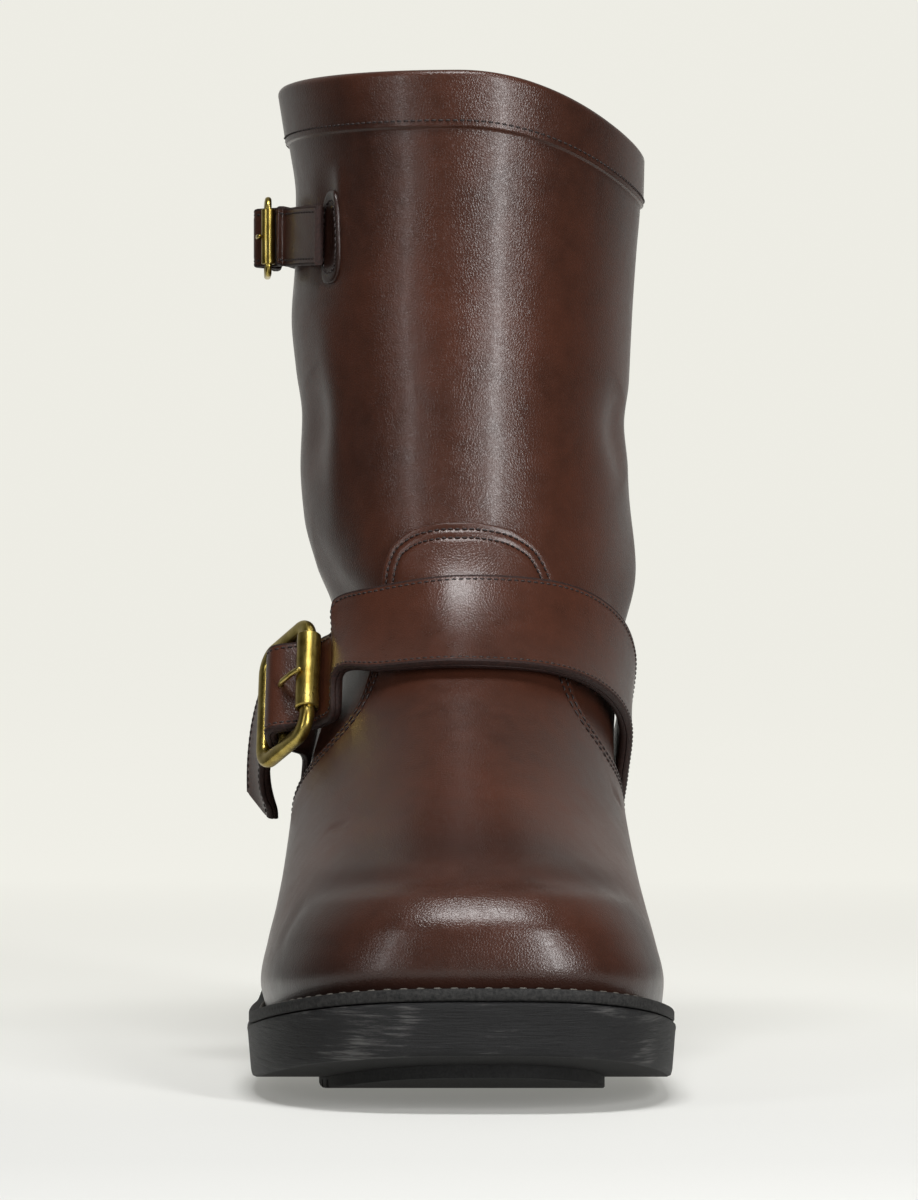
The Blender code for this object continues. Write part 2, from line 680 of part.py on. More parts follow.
def make_instep(parts, cutters):
    """The wide strap over the instep and its roller buckle on the outer side."""
    thickness = INSTEP_STRAP_THICKNESS
    length = INSTEP_FRAME_LENGTH
    bar = INSTEP_FRAME_BAR
    depth = INSTEP_FRAME_DEPTH
    width = INSTEP_STRAP_WIDTH + 2 * bar + 2 * FRAME_PLAY
    seat = BuckleSeat(*INSTEP_SEAT)
    make_frame("instep_buckle", seat, length, width, bar, depth, parts, cutters)
    make_roller("instep_roller", seat, length, INSTEP_STRAP_WIDTH - 0.004, bar, depth,
                INSTEP_ROLLER_WALL, 0.0012, parts)

    roller = roller_radius(bar, depth, INSTEP_ROLLER_WALL)
    half = length / 2 - bar / 2
    buckle_path = weave_path(half, bar, depth, roller, thickness)
    stations = surface_stations(INSTEP_STRAP, thickness)
    stations += buckle_stations(seat, buckle_path)
    last = stations[-1][0]
    for shift, out, across, _ in STRAP_TAIL:
        stations.append((last + INSTEP_STRAP_WIDTH * Vector(shift), Vector(out).normalized(),
                         Vector(across).normalized(), 0.0))
    shares = [row[-1] for row in INSTEP_STRAP] + [1.0] * len(buckle_path)
    shares += [row[-1] for row in STRAP_TAIL]
    widths = [share * INSTEP_STRAP_WIDTH for share in shares]
    strap = sweep_strap("instep_strap", stations, widths, thickness, parts)

    over = CENTRE_BAR * depth + GAP + thickness / 2
    prong = [(-0.0012, CENTRE_BAR * depth + GAP + PRONG_RADIUS), (-half / 2, over + 0.0006),
             (-half + 0.001, roller + GAP + PRONG_RADIUS),
             (-half - 0.0030, roller + GAP + PRONG_RADIUS - 0.0006)]
    make_prong("instep_prong", seat, prong, PRONG_RADIUS, parts)
    rings = []
    for out in (-0.008, 0.008):
        rings.append([seat.point(-half / 4 - 0.0014 + 0.0052 * math.cos(t), out,
                                 0.0014 * math.sin(t))
                      for t in (2 * math.pi * k / 12 for k in range(12))])
    cut(strap, loft("instep_prong_hole", rings, cutters, LEATHER))

    chape = surface_stations(INSTEP_CHAPE, CHAPE_THICKNESS)
    lead = [(seat.point(*place), seat.out, seat.across, 0.0)
            for place in chape_path(half, depth, thickness, CHAPE_THICKNESS)]
    shares = [CHAPE_NECK] * len(lead) + [row[-1] for row in INSTEP_CHAPE]
    widths = [share * INSTEP_STRAP_WIDTH for share in shares]
    sweep_strap("instep_chape", lead + chape, widths, CHAPE_THICKNESS, parts)


def make_top(parts, cutters):
    """The small strap across the slit at the top of the shaft, and its buckle."""
    thickness = TOP_STRAP_THICKNESS
    length = TOP_FRAME_LENGTH
    bar = TOP_FRAME_BAR
    depth = TOP_FRAME_DEPTH
    width = TOP_STRAP_WIDTH + 2 * bar + 2 * FRAME_PLAY
    seat = BuckleSeat(*TOP_SEAT)
    make_frame("top_buckle", seat, length, width, bar, depth, parts, cutters)
    make_roller("top_roller", seat, length, TOP_STRAP_WIDTH - 0.001, bar, depth,
                TOP_ROLLER_WALL, 0.0, parts)

    roller = roller_radius(bar, depth, TOP_ROLLER_WALL)
    half = length / 2 - bar / 2
    buckle_path = weave_path(half, bar, depth, roller, thickness)
    end_along, end_out = buckle_path[-1]
    buckle_path += ((end_along + 0.0065, end_out + 0.0014),)
    stations = surface_stations(TOP_STRAP, thickness)
    stations += buckle_stations(seat, buckle_path)
    widths = [TOP_STRAP_WIDTH] * (len(stations) - 1) + [0.5 * TOP_STRAP_WIDTH]
    strap = sweep_strap("top_strap", stations, widths, thickness, parts)

    radius = TOP_PRONG_RADIUS
    over = CENTRE_BAR * depth + GAP + thickness / 2
    prong = [(-0.0010, CENTRE_BAR * depth + GAP + radius), (-half / 2, over + 0.0004),
             (-half + 0.0006, roller + GAP + radius),
             (-half - 0.0022, roller + GAP + radius - 0.0004)]
    make_prong("top_prong", seat, prong, radius, parts)
    rings = []
    for out in (-0.006, 0.006):
        rings.append([seat.point(-half / 4 - 0.0012 + 0.0040 * math.cos(t), out,
                                 0.0012 * math.sin(t))
                      for t in (2 * math.pi * k / 12 for k in range(12))])
    cut(strap, loft("top_prong_hole", rings, cutters, LEATHER))

    chape = surface_stations(TOP_CHAPE, TOP_CHAPE_THICKNESS)
    lead = [(seat.point(*place), seat.out, seat.across, 0.0)
            for place in chape_path(half, depth, thickness, TOP_CHAPE_THICKNESS)]
    share = TOP_CHAPE[0][-1]
    widths = [share * TOP_STRAP_WIDTH] * (len(lead) + len(chape))
    sweep_strap("top_chape", lead + chape, widths, TOP_CHAPE_THICKNESS, parts)


def main():
    for old in list(bpy.data.objects):
        bpy.data.objects.remove(old, do_unlink=True)
    parts = collection("engineer_boot")
    cutters = collection("cutters")
    make_outsole(parts, cutters)
    make_heel(parts)
    make_welt(parts)
    make_insole(parts)
    make_upper(parts, cutters)
    make_vamp(parts, cutters)
    make_instep(parts, cutters)
    make_top(parts, cutters)


main()
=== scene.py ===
"""Looks of the engineer boot: leather, stitches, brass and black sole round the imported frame."""
import math

import bmesh
import bpy
import numpy as np
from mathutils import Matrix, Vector


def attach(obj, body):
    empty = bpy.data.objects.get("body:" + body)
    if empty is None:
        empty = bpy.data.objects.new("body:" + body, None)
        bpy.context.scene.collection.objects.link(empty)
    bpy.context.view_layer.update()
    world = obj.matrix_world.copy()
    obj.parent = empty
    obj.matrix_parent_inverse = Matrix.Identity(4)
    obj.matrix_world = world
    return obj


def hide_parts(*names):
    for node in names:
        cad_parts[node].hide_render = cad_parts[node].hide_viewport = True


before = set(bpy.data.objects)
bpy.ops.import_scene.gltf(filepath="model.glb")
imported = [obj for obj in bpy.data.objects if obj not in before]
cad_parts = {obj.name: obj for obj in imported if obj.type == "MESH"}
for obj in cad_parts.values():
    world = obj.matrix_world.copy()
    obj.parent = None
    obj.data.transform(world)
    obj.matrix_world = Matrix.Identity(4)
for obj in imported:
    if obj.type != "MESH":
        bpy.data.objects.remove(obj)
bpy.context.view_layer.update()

# Driving sizes, the same as the model's, in metres.
SOLE_LENGTH = 0.290
SOLE_WIDTH = 0.1105
SOLE_THICKNESS = 0.0140
WAIST_THIN = 0.0035
WELT_THICKNESS = 0.0030
PAD_DEPTH = 0.0028
PAD_WIDTH = 0.0735
TOE_SPRING = 0.0112
HEEL_RISE = 0.0222
HEEL_LENGTH = 0.086
HEEL_TAPER = 0.0020
SIDE_FLARE = 0.0012
UPPER_HEIGHT = 0.2402
UPPER_WALL = 0.0024
HEM_STEP = 0.0009
COLLAR_DROP = 0.0185
SLIT_LENGTH = 0.040
SLIT_WIDTH = 0.0056
VAMP_THICKNESS = 0.0014
PATCH_THICKNESS = 0.0009
STAY_THICKNESS = 0.0010
FRAME_PLAY = 0.0009
GAP = 0.0003
SEAT_GAP = 1.5 * GAP

# Shares: of the half sole for its straight ends, of the upper's height, and of a buckle's
# bars. The powers give the roundness of the sole's ends and how its toe springs.
TOE_STRAIGHT = 0.45
HEEL_STRAIGHT = 0.68
HEM_RISE = 0.9335
SEAT_FADE = 0.30
SPRING_POWER = 1.6
SOLE_TOE_POWER = 3.0
SOLE_HEEL_POWER = 2.3
DROP_FROM = 0.5
COLLAR_HALF = 0.93
FRAME_CORNER = 1.15
CENTRE_BAR = 0.46

HALF_WIDTH = SOLE_WIDTH / 2
HALF_LENGTH = SOLE_LENGTH / 2
TOE_Y = -HALF_LENGTH
HEEL_Y = HALF_LENGTH
BALL_FRONT_Y = -0.214 * SOLE_LENGTH
BALL_BACK_Y = -0.104 * SOLE_LENGTH
HEEL_FRONT_Y = HEEL_Y - HEEL_LENGTH
BALL_TOP = SOLE_THICKNESS + WELT_THICKNESS + PAD_DEPTH
SEAT = BALL_TOP + 0.9 * TOE_SPRING


def table(names, *rows):
    """Columns of a table by name, as arrays; the first column says where each row lies."""
    return dict(zip(names.split(), np.array(rows, float).T))


PLAN = table(
    "share inner outer middle",
    (0.00, 0.93, 0.99, 0.12),
    (0.14, 0.97, 1.00, 0.05),
    (0.32, 1.00, 1.00, 0.00),
    (0.45, 0.93, 0.97, 0.00),
    (0.58, 0.80, 0.88, 0.03),
    (0.70, 0.73, 0.79, 0.07),
    (0.84, 0.71, 0.73, 0.09),
    (1.00, 0.71, 0.71, 0.09),
)
UPPER = table(
    "rise front back outer inner toe heel foot",
    (0.000, -0.944, 0.936, 0.874, 0.900, 2.9, 2.3, 1.00),
    (0.025, -0.957, 0.952, 0.905, 0.912, 2.9, 2.3, 1.00),
    (0.058, -0.950, 0.962, 0.872, 0.882, 2.8, 2.3, 0.92),
    (0.090, -0.914, 0.963, 0.832, 0.846, 2.7, 2.3, 0.78),
    (0.115, -0.848, 0.960, 0.812, 0.822, 2.5, 2.3, 0.60),
    (0.142, -0.738, 0.953, 0.800, 0.802, 2.35, 2.3, 0.44),
    (0.175, -0.600, 0.942, 0.786, 0.784, 2.2, 2.3, 0.30),
    (0.217, -0.462, 0.927, 0.738, 0.776, 2.1, 2.2, 0.18),
    (0.267, -0.330, 0.910, 0.682, 0.786, 2.0, 2.2, 0.08),
    (0.325, -0.204, 0.896, 0.655, 0.812, 2.0, 2.2, 0.00),
    (0.383, -0.106, 0.886, 0.635, 0.848, 2.0, 2.2, 0.00),
    (0.442, -0.042, 0.882, 0.724, 0.872, 2.1, 2.2, 0.00),
    (0.500, -0.008, 0.884, 0.790, 0.866, 2.1, 2.2, 0.00),
    (0.562, 0.010, 0.888, 0.810, 0.862, 2.1, 2.2, 0.00),
    (0.617, 0.016, 0.892, 0.802, 0.844, 2.1, 2.2, 0.00),
    (0.675, 0.020, 0.897, 0.834, 0.868, 2.1, 2.2, 0.00),
    (0.733, 0.020, 0.901, 0.856, 0.878, 2.1, 2.2, 0.00),
    (0.800, 0.014, 0.905, 0.838, 0.890, 2.1, 2.2, 0.00),
    (0.875, 0.007, 0.908, 0.834, 0.908, 2.1, 2.2, 0.00),
    (0.938, 0.000, 0.910, 0.870, 0.926, 2.1, 2.2, 0.00),
    (1.000, -0.007, 0.912, 0.912, 0.932, 2.1, 2.2, 0.00),
)
VAMP_EDGE = table(
    "rise along",
    (-0.100, 0.120), (0.000, 0.100), (0.080, 0.085), (0.150, 0.050), (0.196, 0.000),
    (0.220, -0.050), (0.242, -0.100), (0.275, -0.125), (0.325, -0.085), (0.370, -0.036),
    (0.420, 0.004), (0.455, 0.010), (0.478, 0.000), (0.488, -0.012),
)
# Straps: angle, rise of the lower and upper edge, clearance, and width as a share.
INSTEP_STRAP = (
    (118, 0.070, 0.185, 0.0007, 1.00),
    (104, 0.120, 0.235, 0.0007, 1.00),
    (88, 0.185, 0.300, 0.0008, 1.03),
    (70, 0.245, 0.360, 0.0022, 1.08),
    (50, 0.283, 0.400, 0.0030, 1.15),
    (28, 0.302, 0.421, 0.0032, 1.21),
    (0, 0.306, 0.424, 0.0032, 1.22),
    (-28, 0.302, 0.418, 0.0038, 1.14),
    (-44, 0.300, 0.408, 0.0062, 1.04),
)
INSTEP_CHAPE = (
    (-92, 0.205, 0.305, 0.0014, 0.90),
    (-102, 0.160, 0.260, 0.0014, 0.90),
    (-114, 0.105, 0.205, 0.0014, 0.90),
)
TOP_STRAP = (
    (-51, 0.786, 0.854, 0.0006, 1.00),
    (-57, 0.787, 0.855, 0.0006, 1.00),
    (-64, 0.788, 0.856, 0.0009, 1.00),
    (-72, 0.789, 0.857, 0.0016, 1.00),
)
TOP_CHAPE = (
    (-97, 0.793, 0.857, 0.0014, 0.85),
    (-104, 0.793, 0.857, 0.0010, 0.85),
    (-113, 0.793, 0.857, 0.0008, 0.85),
)
# The instep strap's free end: shift in strap widths, outward and across directions, width share.
STRAP_TAIL = (
    ((-0.06, 0.20, -0.36), (-0.92, -0.36, 0.05), (-0.12, 0.52, 0.80), 0.96),
    ((-0.06, 0.36, -0.86), (-0.84, -0.50, 0.00), (-0.40, 0.70, 0.45), 0.60),
)
# Soft forms of the leather: a path of (angle in degrees from the toe, rise) places on the upper,
# its width, and its height, minus for a trough.
CREASES = {
    "toe_break": (((-58, 0.088), (-30, 0.108), (0, 0.116), (30, 0.110), (56, 0.092)), 0.0060, -0.0013),
    "toe_left": (((-46, 0.050), (-44, 0.080), (-40, 0.100)), 0.0045, -0.0006),
    "vamp_nick_outer": (((-42, 0.158), (-34, 0.164)), 0.0016, -0.0005),
    "vamp_nick_inner": (((58, 0.196), (66, 0.180)), 0.0020, -0.0006),
    "patch_ridge": (((-44, 0.905), (-43, 0.86), (-42, 0.82), (-44, 0.775)), 0.0030, 0.0012),
    "patch_hollow": (((-52, 0.90), (-50, 0.82), (-53, 0.76)), 0.0060, -0.0016),
    "shaft_fold_outer": (((-50, 0.740), (-47, 0.640), (-46, 0.560), (-50, 0.470)), 0.0075, 0.0014),
    "shaft_dent_outer": (((-66, 0.660), (-62, 0.600), (-66, 0.540)), 0.0100, -0.0016),
    "shaft_dent_inner": (((72, 0.660), (68, 0.600), (74, 0.540)), 0.0100, -0.0018),
    "ankle_fold_outer": (((-74, 0.470), (-60, 0.410), (-48, 0.380)), 0.0080, -0.0014),
    "ankle_fold_inner": (((100, 0.520), (84, 0.430), (66, 0.380)), 0.0090, 0.0016),
    "ankle_crease_inner": (((112, 0.430), (92, 0.360), (76, 0.330)), 0.0060, -0.0016),
    "heel_fold": (((178, 0.400), (150, 0.370), (124, 0.350)), 0.0080, -0.0016),
    "heel_fold_outer": (((-176, 0.410), (-150, 0.380), (-122, 0.370)), 0.0080, -0.0016),
    "back_slouch": (((160, 0.620), (182, 0.590), (206, 0.600)), 0.0120, -0.0018),
}


def smooth(columns, name, at):
    """Read a column of a table at places in its first column, without overshoot."""
    x, y = next(iter(columns.values())), columns[name]
    at = np.clip(np.asarray(at, float), x[0], x[-1])
    step = np.diff(x)
    slope = np.diff(y) / step
    tangent = np.zeros(len(x))
    both = slope[:-1] * slope[1:] > 0
    total = np.where(both, slope[:-1] + slope[1:], 1.0)
    tangent[1:-1] = np.where(both, 2 * slope[:-1] * slope[1:] / total, 0.0)
    tangent[0] = slope[0]
    tangent[-1] = slope[-1]
    i = np.clip(np.searchsorted(x, at) - 1, 0, len(x) - 2)
    t = (at - x[i]) / step[i]
    return ((2 * t**3 - 3 * t**2 + 1) * y[i] + (t**3 - 2 * t**2 + t) * step[i] * tangent[i]
            + (3 * t**2 - 2 * t**3) * y[i + 1] + (t**3 - t**2) * step[i] * tangent[i + 1])


def ease(t):
    """Run smoothly from 0 to 1 as t does."""
    t = np.clip(t, 0.0, 1.0)
    return t * t * (3 - 2 * t)


def round_turns(count, start=0.0):
    """Angles of even steps round a circle."""
    return 2 * math.pi * (np.arange(count) + start) / count


def unit(vector):
    """Vectors of length one along the last axis."""
    vector = np.asarray(vector, float)
    return vector / np.linalg.norm(vector, axis=-1, keepdims=True)


def run_length(points):
    """Distance run along a line, at each of its points."""
    return np.concatenate([[0], np.cumsum(np.linalg.norm(np.diff(points, axis=0), axis=1))])


def read_along(at, run, values):
    """Rows of values along a line, read at distances run."""
    return np.stack([np.interp(at, run, values[:, k]) for k in range(values.shape[1])], axis=1)


def seat_height(y):
    """Height of the welt's top along the foot."""
    y = np.asarray(y, float)
    spring = np.clip((BALL_FRONT_Y - y) / (BALL_FRONT_Y - TOE_Y), 0.0, None) ** SPRING_POWER
    rise = ease((y - BALL_BACK_Y) / (HEEL_FRONT_Y - BALL_BACK_Y))
    return BALL_TOP + TOE_SPRING * spring + HEEL_RISE * rise


def set_on_welt(ring):
    """Bring a ring of points down to just over the welt's top."""
    ring[:, 2] = seat_height(ring[:, 1]) + SEAT_GAP


def sole_depth(y):
    """Thickness of the outsole band."""
    return SOLE_THICKNESS - WAIST_THIN * ease((y - BALL_BACK_Y) / (HEEL_FRONT_Y - BALL_BACK_Y))


def plan_point(angle, front, back, outer, inner, toe, heel, foot):
    """Points of plan outlines; angle runs from the toe (0) by the inner side to the heel."""
    share = -np.cos(angle)
    square = np.where(share < 0, TOE_STRAIGHT, HEEL_STRAIGHT) * foot
    power = np.where(share < 0, toe, heel)
    reach = np.clip((np.abs(share) - square) / (1 - square), 0.0, 1.0)
    round_end = np.clip(1 - reach**power, 0.0, None) ** (1 / power)
    along = (share + 1) / 2
    on_inner = np.sin(angle) >= 0
    plan = np.where(on_inner, smooth(PLAN, "inner", along), smooth(PLAN, "outer", along))
    half = np.where(on_inner, inner, outer) * round_end * (1 + foot * (plan - 1))
    middle = HALF_WIDTH * smooth(PLAN, "middle", along) * foot
    return middle + np.where(on_inner, half, -half), front + (back - front) * along


def sole_plan(angle, inset=0.0):
    """Points of the sole's outline, set in by a margin, as an array of x, y."""
    half = HALF_WIDTH - inset
    return np.stack(plan_point(np.asarray(angle, float), TOE_Y + inset, HEEL_Y - inset,
                               half, half, SOLE_TOE_POWER, SOLE_HEEL_POWER, 1.0), axis=1)


def upper_base(angle, rise):
    """Points on the upper's plain outer surface, as an array that ends in x, y, z."""
    angle, rise = np.broadcast_arrays(np.asarray(angle, float), np.asarray(rise, float))
    front, back, outer, inner, *shape = (smooth(UPPER, name, rise) for name in list(UPPER)[1:])
    x, y = plan_point(angle, front * HALF_LENGTH, back * HALF_LENGTH, outer * HALF_WIDTH,
                      inner * HALF_WIDTH, *shape)
    z = SEAT + UPPER_HEIGHT * rise
    z = z + np.clip(1 - rise / SEAT_FADE, 0.0, None) ** 2 * (seat_height(y) - SEAT)
    drop = (np.maximum(x, 0) / HALF_WIDTH / COLLAR_HALF) ** 2
    z = z - ease((rise - DROP_FROM) / (1 - DROP_FROM)) * COLLAR_DROP * drop
    return np.stack([x, y, z], axis=-1)


def upper_normal(angle, rise, turn=0.03, step=0.006):
    """Outward normals of the upper."""
    low, high = np.maximum(rise - step, 0.0), np.minimum(rise + step, 1.0)
    around = upper_base(angle + turn, rise) - upper_base(angle - turn, rise)
    return unit(np.cross(around, upper_base(angle, high) - upper_base(angle, low)))


def crease_height(points):
    """Sum of the soft troughs and ridges at points, in metres outward."""
    flat = points.reshape(-1, 3)
    total = np.zeros(len(flat))
    for path, width, height in CREASES.values():
        angles, rises = (np.array(v, float) for v in zip(*path))
        knots = np.arange(len(path))
        fine = np.linspace(0, len(path) - 1, 5 * len(path))
        line = upper_base(np.radians(np.interp(fine, knots, angles)),
                          np.interp(fine, knots, rises))
        low, high = line.min(axis=0) - 3 * width, line.max(axis=0) + 3 * width
        inside = np.flatnonzero(((flat > low) & (flat < high)).all(axis=1))
        near = np.full(len(inside), 1.0)
        share = np.zeros(len(inside))
        for k in range(len(line) - 1):
            run = line[k + 1] - line[k]
            away = flat[inside] - line[k]
            t = np.clip(away @ run / run.dot(run), 0.0, 1.0)
            square = ((away - t[:, None] * run) ** 2).sum(axis=1)
            closer = square < near
            near = np.where(closer, square, near)
            share = np.where(closer, (k + t) / (len(line) - 1), share)
        fade = np.sin(np.pi * np.clip(share, 0.0, 1.0)) ** 0.8
        total[inside] += height * fade * np.exp(-near / width**2)
    return total.reshape(points.shape[:-1])


def upper_point(angle, rise, out=0.0, creased=True):
    """Points at a distance outside the upper, with its creases."""
    angle, rise = np.broadcast_arrays(np.asarray(angle, float), np.asarray(rise, float))
    base = upper_base(angle, rise)
    out = np.broadcast_to(np.asarray(out, float), rise.shape)
    if creased:
        out = out + crease_height(base)
    return base + out[..., None] * upper_normal(angle, rise)


def on_surface(path, out=0.0):
    """Points and outward normals along an (angle, rise) path on the upper."""
    return upper_point(*path.T, out), upper_normal(*path.T)


def even_path(path, step):
    """Resample an (angle, rise) path at even steps along the surface."""
    fine = np.linspace(0, len(path) - 1, 60 * len(path))
    dense = read_along(fine, np.arange(len(path)), path)
    run = run_length(upper_base(*dense.T))
    return read_along(np.linspace(0, run[-1], max(int(run[-1] / step), 2) + 1), run, dense)


def shifted_path(path, distance, turn=0.002):
    """Move an (angle, rise) path sideways on the surface, to the left of its way forward."""
    points, normals = on_surface(path)
    side = np.cross(normals, unit(np.gradient(points, axis=0))) * distance
    angle, rise = path.T
    by_angle = (upper_base(angle + turn, rise) - upper_base(angle - turn, rise)) / (2 * turn)
    by_rise = (upper_base(angle, rise + turn) - upper_base(angle, rise - turn)) / (2 * turn)
    aa, ab, bb, sa, sb = ((a * b).sum(axis=1) for a, b in (
        (by_angle, by_angle), (by_angle, by_rise), (by_rise, by_rise),
        (side, by_angle), (side, by_rise)))
    det = aa * bb - ab**2
    return path + np.stack([(sa * bb - sb * ab) / det, (sb * aa - sa * ab) / det], axis=1)


def srgb(red, green, blue):
    """Linear colour from 8-bit display values."""
    return tuple(((c / 255 + 0.055) / 1.055) ** 2.4 if c > 10 else c / 3295 for c in
                 (red, green, blue)) + (1.0,)


class Nodes:
    """Short ways to add nodes to the tree of a material or the world."""

    def __init__(self, tree, shader, coords="Object"):
        self.tree, self.shader = tree, tree.nodes[shader]
        self.coords = self.add("TexCoord").outputs[coords]

    def put(self, socket, value):
        """Set a socket to a number or colour, or link another socket to it."""
        if isinstance(value, bpy.types.NodeSocket):
            self.tree.links.new(value, socket)
        else:
            socket.default_value = value

    def add(self, kind, inputs=None, **properties):
        """Add a node with its properties, and its inputs by name or number."""
        made = self.tree.nodes.new("ShaderNode" + kind)
        for name, value in properties.items():
            setattr(made, name, value)
        for socket, value in (inputs or {}).items():
            self.put(made.inputs[socket], value)
        return made

    def feed(self, **values):
        """Set or link sockets of the shader itself."""
        for name, value in values.items():
            socket = name.replace("_", " ").title().replace("Ior", "IOR")
            self.put(self.shader.inputs[socket], value)

    def ramp(self, source, *stops):
        """Colour ramp fed by a value; each stop is a place and a colour, or a number for grey."""
        made = self.add("ValToRGB", {"Fac": source})
        elements = made.color_ramp.elements
        while len(elements) < len(stops):
            elements.new(0.5)
        for element, (place, color) in zip(elements, stops):
            element.position = place
            element.color = (color,) * 3 + (1.0,) if isinstance(color, float) else color
        return made.outputs["Color"]

    def noise(self, scale, detail=2.0, roughness=0.5, stretch=None):
        """Noise texture's value, stretched along an axis if asked."""
        coords = self.coords
        if stretch:
            coords = self.add("Mapping", {"Vector": coords, "Scale": stretch}).outputs["Vector"]
        return self.add("TexNoise", {"Vector": coords, "Scale": scale, "Detail": detail,
                                     "Roughness": roughness}).outputs["Fac"]

    def math(self, operation, a, b):
        """Join two values; each is a socket or a number."""
        return self.add("Math", {0: a, 1: b}, operation=operation).outputs["Value"]

    def linear(self, value, times, plus):
        """A value times a number, plus a number or another value."""
        return self.math("ADD", plus, self.math("MULTIPLY", value, times))

    def bump(self, height, distance, strength, below=None):
        """Bump's normal, on top of another bump's if given."""
        inputs = {"Height": height, "Distance": distance, "Strength": strength}
        if below is not None:
            inputs["Normal"] = below
        return self.add("Bump", inputs).outputs["Normal"]


def material(name, **values):
    """Make a Principled material and return it with its nodes."""
    made = bpy.data.materials.new(name)
    made.use_nodes = True
    look = Nodes(made.node_tree, "Principled BSDF")
    look.feed(**values)
    return made, look


LEATHER_DARK = srgb(33, 19, 15)
LEATHER_MID = srgb(60, 33, 23)
LEATHER_WARM = srgb(74, 39, 26)
GRAIN_CELL = 0.00075
GRAIN_WOBBLE = 0.0005


def leather(name, grain=1.0, roughness=0.31):
    """Waxed pull-up leather: cloudy red-brown colour, fine pebbled grain and a thin coat, darkened
    towards LEATHER_DARK by a vertex attribute that holds painted shade and some pieces' own darker
    tone.
    """
    made, look = material(name, coat_weight=0.16, coat_roughness=0.22, specular_ior_level=0.36)
    fine = look.noise(190.0, 5.0, 0.6)
    cloud = look.linear(fine, 0.28, look.math("MULTIPLY", look.noise(17.0, 3.0), 0.72))
    color = look.ramp(cloud, (0.22, LEATHER_DARK), (0.48, LEATHER_MID), (0.72, LEATHER_WARM))
    # Painted shade: the vertex attribute darkens the colour by the welt and across the toe; it also
    # holds the darker tone of some pieces.
    shade = look.add("Attribute", attribute_name="tone_and_painted_shade").outputs["Fac"]
    color = look.add("Mix", {0: shade, 6: color, 7: LEATHER_DARK}, data_type="RGBA").outputs[2]

    wobble = look.add("TexNoise", {"Vector": look.coords, "Scale": 700.0, "Detail": 1.0})
    warped = look.add("VectorMath", {0: wobble.outputs["Color"], 1: (GRAIN_WOBBLE,) * 3,
                                     2: look.coords}, operation="MULTIPLY_ADD")
    cells = look.add("TexVoronoi", {"Vector": warped.outputs["Vector"], "Scale": 1 / GRAIN_CELL},
                     feature="DISTANCE_TO_EDGE")
    pebble = look.ramp(cells.outputs["Distance"], (0.0, 0.0), (0.30, 1.0))
    low = look.bump(look.noise(48.0), 0.0007, 0.30)
    middle = look.bump(pebble, 0.00007, 0.60 * grain, low)
    pores = look.bump(look.noise(2600.0, 3.0, 0.7), 0.00003, 0.55 * grain, middle)
    look.feed(base_color=color, normal=pores,
              roughness=look.linear(fine, 0.16, roughness - 0.07))
    return made


def fibrous(name, dark, light, scale=900.0, roughness=0.75):
    """Raw or painted leather edge and lining: fibrous and matte."""
    made, look = material(name, roughness=roughness, specular_ior_level=0.25)
    fibre = look.noise(scale, 5.0, 0.65)
    look.feed(base_color=look.ramp(fibre, (0.35, dark), (0.65, light)),
              normal=look.bump(fibre, 0.00025, 0.6))
    return made


def sole_black(name):
    """Black dressed sole edge: horizontal brush marks with greyer scratches."""
    made, look = material(name, specular_ior_level=0.3)
    lines = look.noise(95.0, 6.0, 0.7, (1.0, 1.0, 14.0))
    worn = look.noise(30.0, 3.0, 0.6, (1.0, 1.0, 2.0))
    color = look.ramp(look.math("MULTIPLY", lines, worn), (0.18, srgb(9, 9, 10)),
                      (0.28, srgb(17, 17, 18)), (0.38, srgb(70, 69, 68)))
    low = look.bump(lines, 0.0010, 0.70)
    look.feed(base_color=color, roughness=look.linear(lines, 0.30, 0.42),
              normal=look.bump(look.noise(900.0, 4.0, 0.7), 0.00018, 0.45, low))
    return made


def thread(name, color):
    """Waxed sewing thread."""
    made, look = material(name, roughness=0.6)
    twist = look.noise(3000.0)
    shaded = tuple(0.55 * c for c in color[:3]) + (1.0,)
    look.feed(base_color=look.ramp(twist, (0.35, shaded), (0.65, color)),
              normal=look.bump(twist, 0.00008, 0.6))
    return made


def antique_brass(name):
    """Brushed antique brass with darker tarnish in patches."""
    made, look = material(name, metallic=1.0)
    brushed = look.noise(1500.0, 3.0, 0.6, (1.0, 1.0, 0.12))
    color = look.ramp(look.noise(160.0, 4.0, 0.6), (0.28, srgb(132, 112, 50)),
                      (0.52, srgb(178, 158, 84)), (0.78, srgb(212, 194, 124)))
    look.feed(base_color=color, roughness=look.linear(brushed, 0.22, 0.20),
              normal=look.bump(brushed, 0.00004, 0.4))
    return made


MATERIALS = {
    "upper": leather("upper_leather"),
    "vamp": leather("vamp_leather", grain=0.8),
    "strap": leather("strap_leather", grain=0.7, roughness=0.29),
    "edge": fibrous("cut_edge", srgb(26, 15, 13), srgb(48, 28, 23), 1400.0, 0.6),
    "lining": fibrous("lining_leather", srgb(120, 92, 66), srgb(150, 118, 86), 700.0),
    "insole": fibrous("insole_leather", srgb(128, 96, 66), srgb(158, 122, 88)),
    "sole": sole_black("sole_black"),
    "heel": sole_black("heel_black"),
    "welt": fibrous("welt_black", srgb(14, 14, 14), srgb(44, 43, 42), 1100.0, 0.7),
    "tread": fibrous("tread_black", srgb(12, 12, 12), srgb(26, 26, 26), 1500.0, 0.7),
    "thread": thread("thread_brown", srgb(34, 19, 16)),
    "welt_thread": thread("thread_dark", srgb(92, 88, 80)),
    "brass": antique_brass("antique_brass"),
}


def link(name, data):
    """Add an object to the scene."""
    made = bpy.data.objects.new(name, data)
    bpy.context.scene.collection.objects.link(made)
    return made


def new_mesh(name, verts, faces, materials):
    """Make a smooth mesh with its materials."""
    mesh = bpy.data.meshes.new(name)
    mesh.from_pydata([tuple(v) for v in verts], [], faces)
    for used in materials:
        mesh.materials.append(used)
    mesh.shade_smooth()
    return mesh


